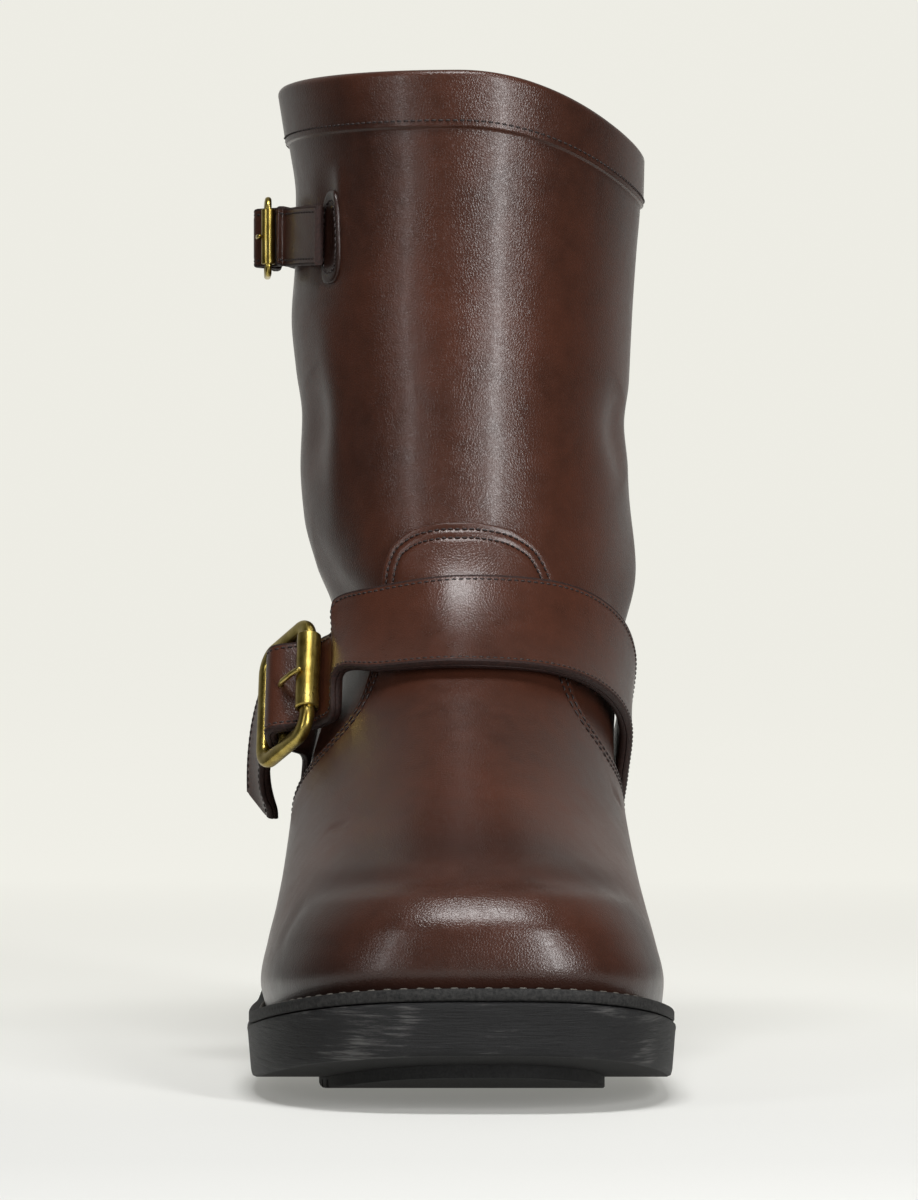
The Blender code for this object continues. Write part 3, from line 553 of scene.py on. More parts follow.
def piece(node, verts, faces, materials, smooth_angle=35.0, index=None, replaces=True):
    """Make the mesh piece boot_NODE, in place of that CAD node unless it only adds to the boot."""
    mesh = new_mesh("boot_" + node, verts, faces, [MATERIALS[name] for name in materials])
    if index is not None:
        mesh.polygons.foreach_set("material_index", index)
    bm = bmesh.new()
    bm.from_mesh(mesh)
    bmesh.ops.remove_doubles(bm, verts=bm.verts, dist=0.000002)
    bmesh.ops.dissolve_degenerate(bm, edges=bm.edges, dist=0.000001)
    bmesh.ops.recalc_face_normals(bm, faces=bm.faces)
    bm.to_mesh(mesh)
    bm.free()
    mesh.set_sharp_from_angle(angle=math.radians(smooth_angle))
    made = link("boot_" + node, mesh)
    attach(made, "root")
    if replaces:
        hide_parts(node)
    return made


def tone_and_painted_shade(made, function):
    """Store how darkened each vertex is, from 0 to 1, for the leather to read: painted shade, and some
    pieces' own darker tone.
    """
    mesh = made.data
    points = np.empty(len(mesh.vertices) * 3)
    mesh.vertices.foreach_get("co", points)
    attribute = mesh.attributes.new("tone_and_painted_shade", "FLOAT", "POINT")
    values = np.clip(function(points.reshape(-1, 3)), 0.0, 1.0)
    attribute.data.foreach_set("value", values.astype(np.float32))


def shade_by_welt(points, reach):
    """Painted shade at the join with the welt, fading above it."""
    return np.exp(-np.clip(points[:, 2] - seat_height(points[:, 1]), 0, 1) / reach)


def grid_faces(rows, cols, offset=0, closed=False):
    """Faces of a grid of rows by cols vertices; closed joins the last column to the first."""
    faces = []
    for i in range(rows - 1):
        a, b = offset + i * cols, offset + (i + 1) * cols
        for j in range(cols if closed else cols - 1):
            k = (j + 1) % cols
            faces.append((a + j, a + k, b + k, b + j))
    return faces


def torus_faces(rows, cols):
    """Faces of a grid that is closed both ways."""
    last = (rows - 1) * cols
    return grid_faces(rows, cols, closed=True) + [
        (last + j, last + (j + 1) % cols, (j + 1) % cols, j) for j in range(cols)]


def loft(node, rings, materials, smooth_angle=35.0, joined=False, strips=None, cap=0,
         replaces=True):
    """Make one body through closed rings of points, its ends capped or joined.

    strips gives the material of each strip between ring points, and cap that of the caps.
    """
    rings = np.asarray(rings, float)
    rows, cols = rings.shape[:2]
    index = None if strips is None else strips * (rows - 1) + [cap, cap]
    if joined:
        faces = torus_faces(rows, cols)
    else:
        faces = grid_faces(rows, cols, closed=True)
        faces += [tuple(range(cols))[::-1], tuple((rows - 1) * cols + j for j in range(cols))]
    return piece(node, rings.reshape(-1, 3), faces, materials, smooth_angle, index, replaces)


STITCH_STEP = 0.0019
VAMP_STITCH_STEP = 0.00185
PATCH_STITCH_STEP = 0.0018
WELT_STITCH_STEP = 0.0042
STITCH_RING = 6
# A stitch along its length: place, thickness and height, as shares.
STITCH_FORM = ((-0.5, 0.25, -1.6), (-0.42, 0.8, -0.5), (-0.2, 1.0, 0.0), (0.2, 1.0, 0.0),
               (0.42, 0.8, -0.5), (0.5, 0.25, -1.6))


def stitch_mesh(points, normals, length=0.78, radius=0.00026, lift=0.00012):
    """Vertices and faces of a row of stitches between the points, each a short bent capsule."""
    a, b = points[:-1], points[1:]
    run = b - a
    size = np.linalg.norm(run, axis=1, keepdims=True)
    run = run / size
    up = (normals[:-1] + normals[1:]) / 2
    up = unit(up - run * (up * run).sum(axis=1, keepdims=True))
    side = np.cross(run, up)
    middle = (a + b) / 2
    rings = []
    for place, wide, high in STITCH_FORM:
        centre = middle + run * size * length * place + up * (lift + radius * high)
        for turn in round_turns(STITCH_RING):
            rings.append(centre + radius * wide * (side * np.cos(turn) + up * np.sin(turn)))
    verts = np.stack(rings, axis=1).reshape(-1, 3)
    one = np.array(grid_faces(len(STITCH_FORM), STITCH_RING, closed=True))
    starts = np.arange(len(a)) * len(STITCH_FORM) * STITCH_RING
    return verts, (one[None] + starts[:, None, None]).reshape(-1, 4)


def stitches(name, rows, material_name, **form):
    """Join rows of stitches, each given by points and normals, into one piece."""
    verts, faces, start = [], [], 0
    for points, normals in rows:
        v, f = stitch_mesh(points, normals, **form)
        verts.append(v)
        faces.append(f + start)
        start += len(v)
    made = link(name, new_mesh(name, np.concatenate(verts), np.concatenate(faces).tolist(),
                               [MATERIALS[material_name]]))
    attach(made, "root")


SLIT_ANGLE = -math.pi / 2
SLIT_BOTTOM = 1 - SLIT_LENGTH / UPPER_HEIGHT
SLIT_FOOT_SHARE = 0.3
SLIT_EASE = 0.010
COLLAR_ROLL = (UPPER_WALL + HEM_STEP) / 2
COLLAR_START = 1 - COLLAR_ROLL / UPPER_HEIGHT
ROLL_ROWS = 7
UPPER_COLS = 251


def upper_angles(rise):
    """Column angles of one row: all the way round, opened at the slit near the top."""
    speed = float(smooth(UPPER, "back", rise) - smooth(UPPER, "front", rise)) * HALF_LENGTH / 2
    share = np.clip((rise - SLIT_BOTTOM) / (1 - SLIT_BOTTOM), 0.0, 1.0)
    opened = ease((rise - SLIT_BOTTOM) / SLIT_EASE + 0.5)
    half = SLIT_WIDTH / 2 * (SLIT_FOOT_SHARE + (1 - SLIT_FOOT_SHARE) * share) * opened
    return np.linspace(SLIT_ANGLE + half / speed, SLIT_ANGLE + 2 * math.pi - half / speed,
                       UPPER_COLS)


def make_upper():
    """The hollow leather wall with its hem, rolled collar, slit and lining."""
    low = [*np.linspace(0.0, 0.30, 76), *np.linspace(0.30, SLIT_BOTTOM - 0.02, 130)[1:]]
    hem = sorted(set(np.round(np.concatenate([
        np.linspace(SLIT_BOTTOM - 0.02, HEM_RISE - 0.003, 26)[1:],
        np.linspace(HEM_RISE - 0.002, HEM_RISE + 0.006, 9),
        np.linspace(HEM_RISE + 0.010, COLLAR_START, 12)]), 6)))
    outside = low + hem
    rows = [(rise, HEM_STEP * ease((rise - HEM_RISE) / 0.004)) for rise in outside]
    for turn in np.linspace(0, math.pi, ROLL_ROWS + 2)[1:-1]:
        rows.append((1 - COLLAR_ROLL / UPPER_HEIGHT * (1 - math.sin(turn)),
                     HEM_STEP - COLLAR_ROLL + COLLAR_ROLL * math.cos(turn)))
    rows += [(rise, -UPPER_WALL) for rise in hem[::-1] + low[::5][::-1]]
    verts = []
    for rise, out in rows:
        ring = upper_point(upper_angles(rise), rise, out)
        if rise == 0.0:
            set_on_welt(ring)
        verts.append(ring)
    cols, top = UPPER_COLS, len(outside)
    faces = grid_faces(len(rows), cols)
    index = [int(i >= top + ROLL_ROWS - 2) for i in range(len(rows) - 1) for _ in range(cols - 1)]
    last = (len(rows) - 1) * cols
    for j in range(cols - 1):
        faces.append((last + j, last + j + 1, j + 1, j))
        index.append(1)
    partner = {rise: top + ROLL_ROWS + k for k, rise in enumerate(reversed(hem))}
    ladder = [(i, partner[outside[i]]) for i in range(len(low), top)]
    for side in (0, cols - 1):
        walls = [(a, c, d, b) for (a, b), (c, d) in zip(ladder, ladder[1:])
                 if outside[a] > SLIT_BOTTOM - 0.006]
        walls.append(range(top - 1, top + ROLL_ROWS + 1))
        faces += [tuple(k * cols + side for k in wall) for wall in walls]
        index += [2] * len(walls)
    made = piece("upper", np.array(verts).reshape(-1, 3), faces, ("upper", "lining", "edge"), 50.0,
                 index)
    # Painted shade at the upper's foot, by the welt.
    tone_and_painted_shade(made, lambda p: 0.55 * shade_by_welt(p, 0.010))


VAMP_APEX = VAMP_EDGE["rise"][-1]
VAMP_OUT = 1.4 * GAP + VAMP_THICKNESS
VAMP_ROWS = 250
VAMP_COLS = 260
VAMP_ROLL = 0.0007
VAMP_RIM = 0.0001
VAMP_SUNK = 0.0003
VAMP_CROWDING = 0.28
STITCH_MARGINS = (0.0021, 0.0046)
STITCH_PULL = 0.00022
STITCH_PULL_REACH = 0.0007
# Distance back from the toe of the band of painted shade across the vamp.
TOE_SHADE_BAND = 0.040


def vamp_limit(rise):
    """The angle from the toe line at which the vamp ends, at a rise."""
    front, back = smooth(UPPER, "front", rise), smooth(UPPER, "back", rise)
    along = smooth(VAMP_EDGE, "along", rise)
    return np.arccos(np.clip(1 - 2 * (along - front) / (back - front), -1.0, 1.0))


def vamp_boundary(side, low=0.0, count=160):
    """The vamp's edge as a path up one side (-1 outer, 1 inner), from the welt to the apex."""
    rises = low + (VAMP_APEX - low) * np.sin(np.linspace(0, np.pi / 2, count))
    return np.stack([side * vamp_limit(rises), rises], axis=1)


def make_vamp():
    """The raised forefoot layer with its domed top edge, pulled in along its stitch rows."""
    rises = VAMP_APEX * np.sin(np.linspace(0, np.pi / 2, VAMP_ROWS))
    share = np.linspace(-1, 1, VAMP_COLS)
    share = (1 - VAMP_CROWDING) * share + VAMP_CROWDING * np.sin(share * np.pi / 2)
    angles = vamp_limit(rises)[:, None] * share[None, :]
    grid = np.broadcast_to(rises[:, None], angles.shape)
    base = upper_base(angles, grid)
    crown = float(vamp_limit(VAMP_APEX))
    edge = np.concatenate([upper_base(*vamp_boundary(side, count=420).T) for side in (-1, 1)]
                          + [upper_base(np.linspace(-crown, crown, 60), VAMP_APEX)])
    near = np.full(base.shape[:2], 1.0)
    for place in edge:
        near = np.minimum(near, ((base - place) ** 2).sum(axis=2))
    near = np.sqrt(near)
    out = VAMP_OUT * np.sqrt(np.clip(1 - np.clip(1 - near / VAMP_ROLL, 0, 1) ** 2, 0, 1))
    for margin in STITCH_MARGINS:
        out = out - STITCH_PULL * np.exp(-((near - margin) / STITCH_PULL_REACH) ** 2)
    verts = upper_point(angles, grid, np.where(near < VAMP_RIM, -VAMP_SUNK, out))
    set_on_welt(verts[0])
    made = piece("vamp", verts.reshape(-1, 3), grid_faces(VAMP_ROWS, VAMP_COLS), ("vamp",), 60.0)
    # Painted shade by the welt and in a band across the toe.
    tone_and_painted_shade(made, lambda p: 0.75 * shade_by_welt(p, 0.018)
            + 0.45 * np.exp(-((p[:, 1] - TOE_Y - TOE_SHADE_BAND) / 0.014) ** 2))


PATCH_MIDDLE = (math.radians(-48.0), 0.818)
PATCH_HALF = (0.0062, 0.0128)
# The patch from its rim to its middle: share of the outline, and share of the thickness.
PATCH_FORM = ((1.0, -0.0004), (1.0, 0.55), (0.97, 0.85), (0.90, 1.0), (0.60, 1.0), (0.30, 1.0),
              (0.02, 1.0))


def patch_path(share, count=64):
    """A rounded outline round the patch's middle, as an (angle, rise) path on the upper."""
    turns = np.linspace(0, 2 * math.pi, count + 1)
    angle, rise = PATCH_MIDDLE
    side = np.linalg.norm(upper_base(angle + 0.01, rise) - upper_base(angle - 0.01, rise)) / 0.02
    wide, high = (half * share * np.sign(wave) * np.abs(wave) ** 0.7
                  for half, wave in zip(PATCH_HALF, (np.cos(turns), np.sin(turns))))
    return np.stack([angle + wide / side, rise + high / UPPER_HEIGHT], axis=1)


def make_patch():
    """The oval patch that anchors the top strap."""
    rings = np.array([on_surface(patch_path(share)[:-1], PATCH_THICKNESS * high)[0]
                      for share, high in PATCH_FORM])
    made = piece("top_patch", rings.reshape(-1, 3), grid_faces(*rings.shape[:2], closed=True),
                 ("strap",), 60.0, replaces=False)
    tone_and_painted_shade(made, lambda p: np.full(len(p), 0.8))


STAY_HALF = 0.0085
STAY_TOP = 0.925
STAY_FLARE = 1.6
STAY_FLARE_RISE = 0.32
STAY_END = 0.004
STAY_END_HEIGHT = 0.2
STAY_STITCH_IN = 0.0022
HEM_STITCH_RISE = HEM_RISE + 0.0098
# The back stay across: share of its half width, and share of the thickness.
STAY_FORM = ((-1.0, -0.4), (-1.0, 0.4), (-0.985, 0.8), (-0.94, 1.0), (-0.8, 1.0), (-0.4, 1.0),
             (0.0, 1.0), (0.4, 1.0), (0.8, 1.0), (0.94, 1.0), (0.985, 0.8), (1.0, 0.4),
             (1.0, -0.4))


def stay_half(rise):
    """Half the width of the back stay at a rise, wider towards the heel."""
    return STAY_HALF * (1.0 + STAY_FLARE * np.clip(1 - rise / STAY_FLARE_RISE, 0.0, 1.0) ** 1.5)


def stay_angle(rise, across):
    """Angle on the upper at a distance across from the back line."""
    side = np.linalg.norm(upper_base(math.pi + 0.05, rise) - upper_base(math.pi - 0.05, rise),
                          axis=-1) / 0.10
    return math.pi - across / side


def make_back_stay():
    """The sewn strip that covers the upper's back seam."""
    rises = np.linspace(0.0, STAY_TOP, 150)
    share, high = np.array(STAY_FORM).T
    grid = np.broadcast_to(rises[:, None], (len(rises), len(share)))
    ends = np.where(rises > STAY_TOP - STAY_END, STAY_END_HEIGHT, 1.0)
    out = STAY_THICKNESS * high[None, :] * ends[:, None]
    verts = upper_point(stay_angle(grid, stay_half(grid) * share), grid, out)
    set_on_welt(verts[0])
    made = piece("back_stay", verts.reshape(-1, 3), grid_faces(len(rises), len(share)),
                 ("upper",), 60.0, replaces=False)
    # A darker tone over the whole stay, plus painted shade near its foot by the welt.
    tone_and_painted_shade(made, lambda p: 0.25 + 0.4 * np.exp(-np.clip(p[:, 2] - 0.04, 0, 1) / 0.012))


def make_upper_stitches():
    """Rows along the vamp's edge, round the hem, and on the back stay and the anchor patch."""
    around = np.concatenate([vamp_boundary(-1, 0.015), vamp_boundary(1, 0.015)[::-1][1:]])
    around = even_path(around, VAMP_STITCH_STEP)
    rows = []
    for margin in STITCH_MARGINS:
        rows.append(on_surface(shifted_path(around, -margin), VAMP_OUT - 0.00012))
    turns = np.linspace(SLIT_ANGLE + 0.08, SLIT_ANGLE + 2 * math.pi - 0.08, 300)
    hem = np.stack([turns, np.full(300, HEM_STITCH_RISE)], axis=1)
    rows.append(on_surface(even_path(hem, STITCH_STEP), HEM_STEP))
    rises = np.linspace(0.012, STAY_TOP - 0.008, 160)
    for side in (-1, 1):
        line = np.stack([stay_angle(rises, side * (stay_half(rises) - STAY_STITCH_IN)), rises], axis=1)
        rows.append(on_surface(even_path(line, STITCH_STEP), STAY_THICKNESS))
    rows.append(on_surface(even_path(patch_path(0.78), PATCH_STITCH_STEP), PATCH_THICKNESS))
    stitches("boot_stitches", rows, "thread")


STRAP_GROOVE = 0.00016
STRAP_GROOVE_REACH = 0.0006
STRAP_CORNER = 0.30
STRAP_STITCH_IN = 0.0018
STRAP_STITCH_END = 0.001
STRAP_STEPS = 14
TOP_POINTS, SIDE_POINTS, LOW_POINTS = 25, 7, 9


def surface_stations(rows, thickness):
    """Stations of a strap that lies on the upper: centre, outward, across and bow."""
    stations = []
    for angle, low, high, clear, _ in rows:
        turns, rises = np.full(3, math.radians(angle)), np.array([low, (low + high) / 2, high])
        normals = upper_normal(turns, rises)
        points = upper_base(turns, rises) + normals * (clear + thickness / 2)
        across = unit(points[2] - points[0])
        out = unit(normals[1] - across * normals[1].dot(across))
        centre = (points[0] + points[2]) / 2
        stations.append((centre, out, across, float((points[1] - centre).dot(out))))
    return stations


def strap_outline(width, thickness, bow):
    """Section of a strap: rounded corners, a seam between two layers and pulled-in rows."""
    half, deep = width / 2, thickness / 2
    corner = STRAP_CORNER * thickness
    top = np.linspace(half - corner, -half + corner, TOP_POINTS)
    from_row = (np.abs(top) - half + STRAP_STITCH_IN) / STRAP_GROOVE_REACH
    out = deep + bow * (1 - (top / half) ** 2) - STRAP_GROOVE * np.exp(-from_row**2)
    side = [(-half + corner * 0.30, deep - corner * 0.30), (-half, deep - corner),
            (-half, 0.10 * deep), (-half + 0.08 * thickness, 0.0), (-half, -0.10 * deep),
            (-half, -deep + corner), (-half + corner * 0.30, -deep + corner * 0.30)]
    low = np.linspace(-half + corner, half - corner, LOW_POINTS)
    return [*zip(top, out), *side, *zip(low, -deep + bow * (1 - (low / half) ** 2)),
            *((-a, -b) for a, b in side)]


def eased(values, i, t):
    """Value between stations on a Catmull-Rom curve."""
    a, b, c, d = (np.asarray(values[min(max(i + k, 0), len(values) - 1)], float)
                  for k in (-1, 0, 1, 2))
    return 0.5 * (2 * b + (c - a) * t + (2 * a - 5 * b + 4 * c - d) * t * t
                  + (3 * b - a - 3 * c + d) * t**3)


def strap_frames(stations, widths):
    """Centres, outward and across directions, bows and widths, eased between stations."""
    centres, outs, acrosses, bows = zip(*stations)
    places = [(i, k / STRAP_STEPS) for i in range(len(stations) - 1) for k in range(STRAP_STEPS)]
    places.append((len(stations) - 2, 1.0))
    frames = []
    for i, t in places:
        across = unit(eased(acrosses, i, t))
        out = eased(outs, i, t)
        out = unit(out - across * out.dot(across))
        frames.append((eased(centres, i, t), out, across, float(eased(bows, i, t)),
                       float(eased(widths, i, t))))
    return frames


def sweep_strap(node, stations, widths, thickness):
    """Make a strap and return the frames along it."""
    frames = strap_frames(stations, widths)
    rings = [[centre + across * a + out * b for a, b in strap_outline(width, thickness, bow)]
             for centre, out, across, bow, width in frames]
    edge = [1] * (SIDE_POINTS + 1)
    strips = [0] * (TOP_POINTS - 1) + edge + [0] * (LOW_POINTS - 1) + edge
    made = loft(node, rings, ("strap", "edge"), 50.0, strips=strips, cap=1)
    tone_and_painted_shade(made, lambda p: np.zeros(len(p)))
    return frames


def strap_rows(frames, thickness):
    """Stitch rows along both edges of a strap."""
    rows = []
    for side in (-1, 1):
        points, normals = [], []
        for centre, out, across, bow, width in frames:
            place = side * (width / 2 - STRAP_STITCH_IN)
            high = thickness / 2 + bow * (1 - (2 * place / width) ** 2) - STRAP_GROOVE
            points.append(centre + across * place + out * high)
            normals.append(out)
        run = run_length(points)
        at = np.linspace(STRAP_STITCH_END, run[-1] - STRAP_STITCH_END,
                         max(int(run[-1] / STITCH_STEP), 2))
        rows.append((read_along(at, run, np.array(points)),
                     unit(read_along(at, run, np.array(normals)))))
    return rows


class Buckle:
    """A roller buckle: its sizes, its place, and unit vectors along, outward and across."""

    def __init__(self, name, place, along, across, **sizes):
        self.name = name
        vars(self).update(sizes)
        angle, rise, out = place
        turn, rise = np.array([math.radians(angle)]), np.array([rise])
        self.centre = (upper_base(turn, rise) + out * upper_normal(turn, rise))[0]
        self.along = unit(along)
        self.across = unit(across - self.along * self.along.dot(across))
        self.out = unit(np.cross(self.along, self.across))
        if self.out[0] > 0:
            self.out = -self.out
        self.half = self.length / 2 - self.bar / 2
        self.core = CENTRE_BAR * self.depth
        eighth = math.pi / 8
        self.roller = GAP + self.wall + math.hypot(math.cos(eighth) * self.bar / 2,
                                                   math.sin(eighth) * self.depth / 2)

    def point(self, along, out, across=0.0):
        """World point at a distance along, outward and across."""
        return self.centre + self.along * along + self.out * out + self.across * across

    def weave(self):
        """A strap's way through: under the roller, over the centre bar, under the rear bar."""
        half, slant = self.half, math.sqrt(0.5)
        clear = GAP + self.thickness / 2 + 0.0001
        under, over, rear = self.roller + clear, self.core + clear, self.depth / 2 + clear
        return ((-half - 1.1 * under, -under), (-half, -under - 0.0001),
                (-half + slant * under, -slant * under - 0.0002), (-slant * over, slant * over),
                (0.0, over + 0.0001), (slant * over, slant * over),
                (half - 0.5 * self.bar - slant * clear, -slant * clear - 0.0002),
                (half, -rear - 0.0002), (half + 0.0060, -rear + 0.0004))

    def stations(self, path):
        """Stations of a strap along its way through the buckle."""
        stations = []
        for i, (along, out) in enumerate(path):
            before, after = path[max(i - 1, 0)], path[min(i + 1, len(path) - 1)]
            run = self.along * (after[0] - before[0]) + self.out * (after[1] - before[1])
            normal = unit(np.cross(run, self.across))
            if normal.dot(self.out) < 0:
                normal = -normal
            stations.append((self.point(along, out), normal, self.across, 0.0))
        return stations

    def chape_lead(self):
        """Stations of the chape from the centre bar back and down, below the strap."""
        start = self.core + GAP + self.chape / 2
        end = self.depth / 2 + self.thickness + 4 * GAP + self.chape / 2
        path = ((0.0020, -start - 0.0003), (0.55 * self.half, -0.5 * (start + end) - 0.0004),
                (self.half, -end - 0.0006))
        return [(self.point(*place), self.out, self.across, 0.0) for place in path]


# Sizes in metres; width, thickness and chape are the strap's and its chape's, neck a width share.
INSTEP = Buckle("instep", (-66.19, 0.2784, 0.01345), (-0.48, 0.78, -0.40), (0.13, 0.26, 0.95),
                width=0.0262, thickness=0.0036, chape=0.0020, neck=0.74,
                length=0.0300, bar=0.0044, depth=0.0038, wall=0.0008,
                roller_short=0.004, roller_shift=0.0012,
                prong=0.0009, prong_start=0.0012, prong_lift=0.0006, prong_bend=0.0010,
                prong_reach=0.0030)
TOP = Buckle("top", (-84.0, 0.825, 0.00783), (-0.05, 0.99, 0.0), (0.0, 0.0, 1.0),
             width=0.0165, thickness=0.0026, chape=0.0016, neck=0.85,
             length=0.0190, bar=0.0021, depth=0.0019, wall=0.0006,
             roller_short=0.001, roller_shift=0.0,
             prong=0.00072, prong_start=0.0010, prong_lift=0.0004, prong_bend=0.0006,
             prong_reach=0.0022)
FRAME_SIDES = 24
BAR_SIDES = 20
ROLLER_SIDES = 40
PRONG_SIDES = 14
PRONG_TAPER = 0.22
PRONG_TIP = 0.07


def make_frame(buckle):
    """A buckle's cast frame, domed in section, with its centre bar."""
    bar = buckle.bar
    corner = FRAME_CORNER * bar
    width = buckle.width + 2 * bar + 2 * FRAME_PLAY
    half_width = width / 2 - bar / 2
    path = []
    for sx, sy, start in ((1, 1, 0), (-1, 1, 90), (-1, -1, 180), (1, -1, 270)):
        for k in range(13):
            turn = math.radians(start + 7.5 * k)
            path.append((sx * (buckle.half - corner) + corner * math.cos(turn),
                         sy * (half_width - corner) + corner * math.sin(turn), turn))
    profile = []
    for turn in round_turns(FRAME_SIDES):
        cos, sin = math.cos(turn), math.sin(turn)
        profile.append((math.copysign(abs(cos) ** 0.8, cos) * bar / 2,
                        math.copysign(abs(sin) ** 0.9, sin) * buckle.depth / 2))
    verts = [buckle.point(along + a * math.cos(turn), b, across + a * math.sin(turn))
             for along, across, turn in path for a, b in profile]
    faces = torus_faces(len(path), FRAME_SIDES) + grid_faces(2, BAR_SIDES, len(verts), closed=True)
    for across in (-half_width, half_width):
        for turn in round_turns(BAR_SIDES):
            verts.append(buckle.point(buckle.core * math.cos(turn), buckle.core * math.sin(turn),
                                      across))
    piece(buckle.name + "_buckle", verts, faces, ("brass",), 50.0)


def make_roller(buckle):
    """The tube on the frame's front bar, its ends slightly rounded."""
    outer, half = buckle.roller, (buckle.width - buckle.roller_short) / 2
    inner, soft = outer - buckle.wall, 0.35 * buckle.wall
    profile = ((inner, -half), (outer - soft, -half), (outer, -half + soft),
               (outer, half - soft), (outer - soft, half), (inner, half))
    rings = [[buckle.point(-buckle.half + radius * math.cos(t), radius * math.sin(t),
                           buckle.roller_shift + across)
              for t in round_turns(ROLLER_SIDES)] for radius, across in profile]
    loft(buckle.name + "_roller", rings, ("brass",), joined=True)


def make_prong(buckle, points=22):
    """The prong, a bar that tapers to a rounded tip on the roller."""
    half, radius = buckle.half, buckle.prong
    rest = buckle.roller + GAP + radius
    path = np.array(((-buckle.prong_start, buckle.core + GAP + radius),
                     (-half / 2, buckle.core + GAP + buckle.thickness / 2 + buckle.prong_lift),
                     (-half + buckle.prong_bend, rest),
                     (-half - buckle.prong_reach, rest - buckle.prong_lift)))
    rings = []
    for i, (a, b) in enumerate(read_along(np.linspace(0, 3, points), np.arange(4), path)):
        share = i / (points - 1)
        tip = math.sqrt(max(1 - max((share - 1 + PRONG_TIP) / PRONG_TIP, 0) ** 2, 0.02))
        wide = radius * (1.0 - PRONG_TAPER * share) * tip
        rings.append([buckle.point(a, b + wide * math.sin(t), wide * math.cos(t))
                      for t in round_turns(PRONG_SIDES)])
    loft(buckle.name + "_prong", rings, ("brass",), 70.0)


def make_strap_set(buckle, strap, chape, more=(), tail=(), tip=1.0):
    """A strap, its buckle and its chape; returns the strap's stitch rows.

    more lengthens the way through the buckle, tail adds the free end, tip narrows the last width.
    """
    name, width, thickness = buckle.name, buckle.width, buckle.thickness
    make_frame(buckle)
    make_roller(buckle)
    path = buckle.weave()
    path += tuple((path[-1][0] + along, path[-1][1] + out) for along, out in more)
    stations = surface_stations(strap, thickness) + buckle.stations(path)
    shares = [row[-1] for row in strap] + [1.0] * len(path)
    last = stations[-1][0]
    for shift, out, across, share in tail:
        stations.append((last + width * np.array(shift), unit(out), unit(across), 0.0))
        shares.append(share)
    shares[-1] *= tip
    frames = sweep_strap(name + "_strap", stations, [share * width for share in shares], thickness)
    make_prong(buckle)
    lead = buckle.chape_lead()
    shares = [buckle.neck] * len(lead) + [row[-1] for row in chape]
    sweep_strap(name + "_chape", lead + surface_stations(chape, buckle.chape),
                [share * width for share in shares], buckle.chape)
    return strap_rows(frames, thickness)


SOLE_AROUND = 360
SOLE_GAP = 1.7 * GAP
INSOLE_PROUD = 0.0022
PAD_SUNK = 0.0020
PAD_EDGE = 0.0004
GROOVE_WIDTH = 0.0034
GROOVE_DEPTH = 0.0018
GROOVE_COUNT = 7
GROOVED_SHARE = 0.70
GROOVES_PAST_BALL = 0.02
# Softened edges, as distances in from the rim and down from the top or up from the bottom.
SOLE_TOP_EDGE = ((0.012, 0.0), (0.0016, 0.0), (0.0005, 0.0), (0.0001, 0.0004), (0.0, 0.0010))
SOLE_LOW_EDGE = ((0.0, 0.0012), (0.0003, 0.0004), (0.0012, 0.0))
WELT_EDGE = ((0.0004, WELT_THICKNESS), (0.0, WELT_THICKNESS - 0.0005), (0.0, 0.0006),
             (0.0003, 0.0001), (0.0009, 0.0))
WELT_STITCH_IN = 0.0034
WELT_STITCH_UP = 0.0001
INSOLE_STEPS = 12
INSOLE_NARROWEST = 0.004
# The heel's levels up from the ground and down from its top, with how far each is drawn in.
HEEL_LOW = ((0.0, 0.0010), (0.0006, 0.0003), (0.0012, 0.0), (0.0068, 0.0), (0.0071, 0.0003),
            (0.0074, 0.0))
HEEL_HIGH = ((0.0009, 0.0), (0.0002, 0.0003), (0.0, 0.0008))


def sole_turns(count=SOLE_AROUND):
    """Angles round the sole, none of them at the toe or heel line itself."""
    return round_turns(count, 0.5)


def make_outsole():
    """The black band with softened edges, closed above and below."""
    outer = sole_plan(sole_turns())
    inward = unit(-outer * [1.0, 0.35])
    top = seat_height(outer[:, 1]) - WELT_THICKNESS - SOLE_GAP
    low = top - sole_depth(outer[:, 1]) + SOLE_GAP
    levels = [(inset, top - drop) for inset, drop in SOLE_TOP_EDGE]
    levels += [(SIDE_FLARE * share, top + (low - top) * share)
               for share in np.linspace(0.15, 0.85, 7)]
    levels += [(SIDE_FLARE + inset, low + rise) for inset, rise in SOLE_LOW_EDGE]
    rings = np.array([np.column_stack([outer + inward * inset, z]) for inset, z in levels])
    cols = SOLE_AROUND
    faces = grid_faces(len(rings), cols, closed=True)
    index = [0] * len(faces)
    for row, tread in ((0, 0), (len(rings) - 1, 1)):
        start = row * cols
        for k in range(cols // 2 - 1):
            faces.append((start + k, start + k + 1, start + cols - 2 - k, start + cols - 1 - k))
            index.append(tread)
    piece("outsole", rings.reshape(-1, 3), faces, ("sole", "tread"), 50.0, index)


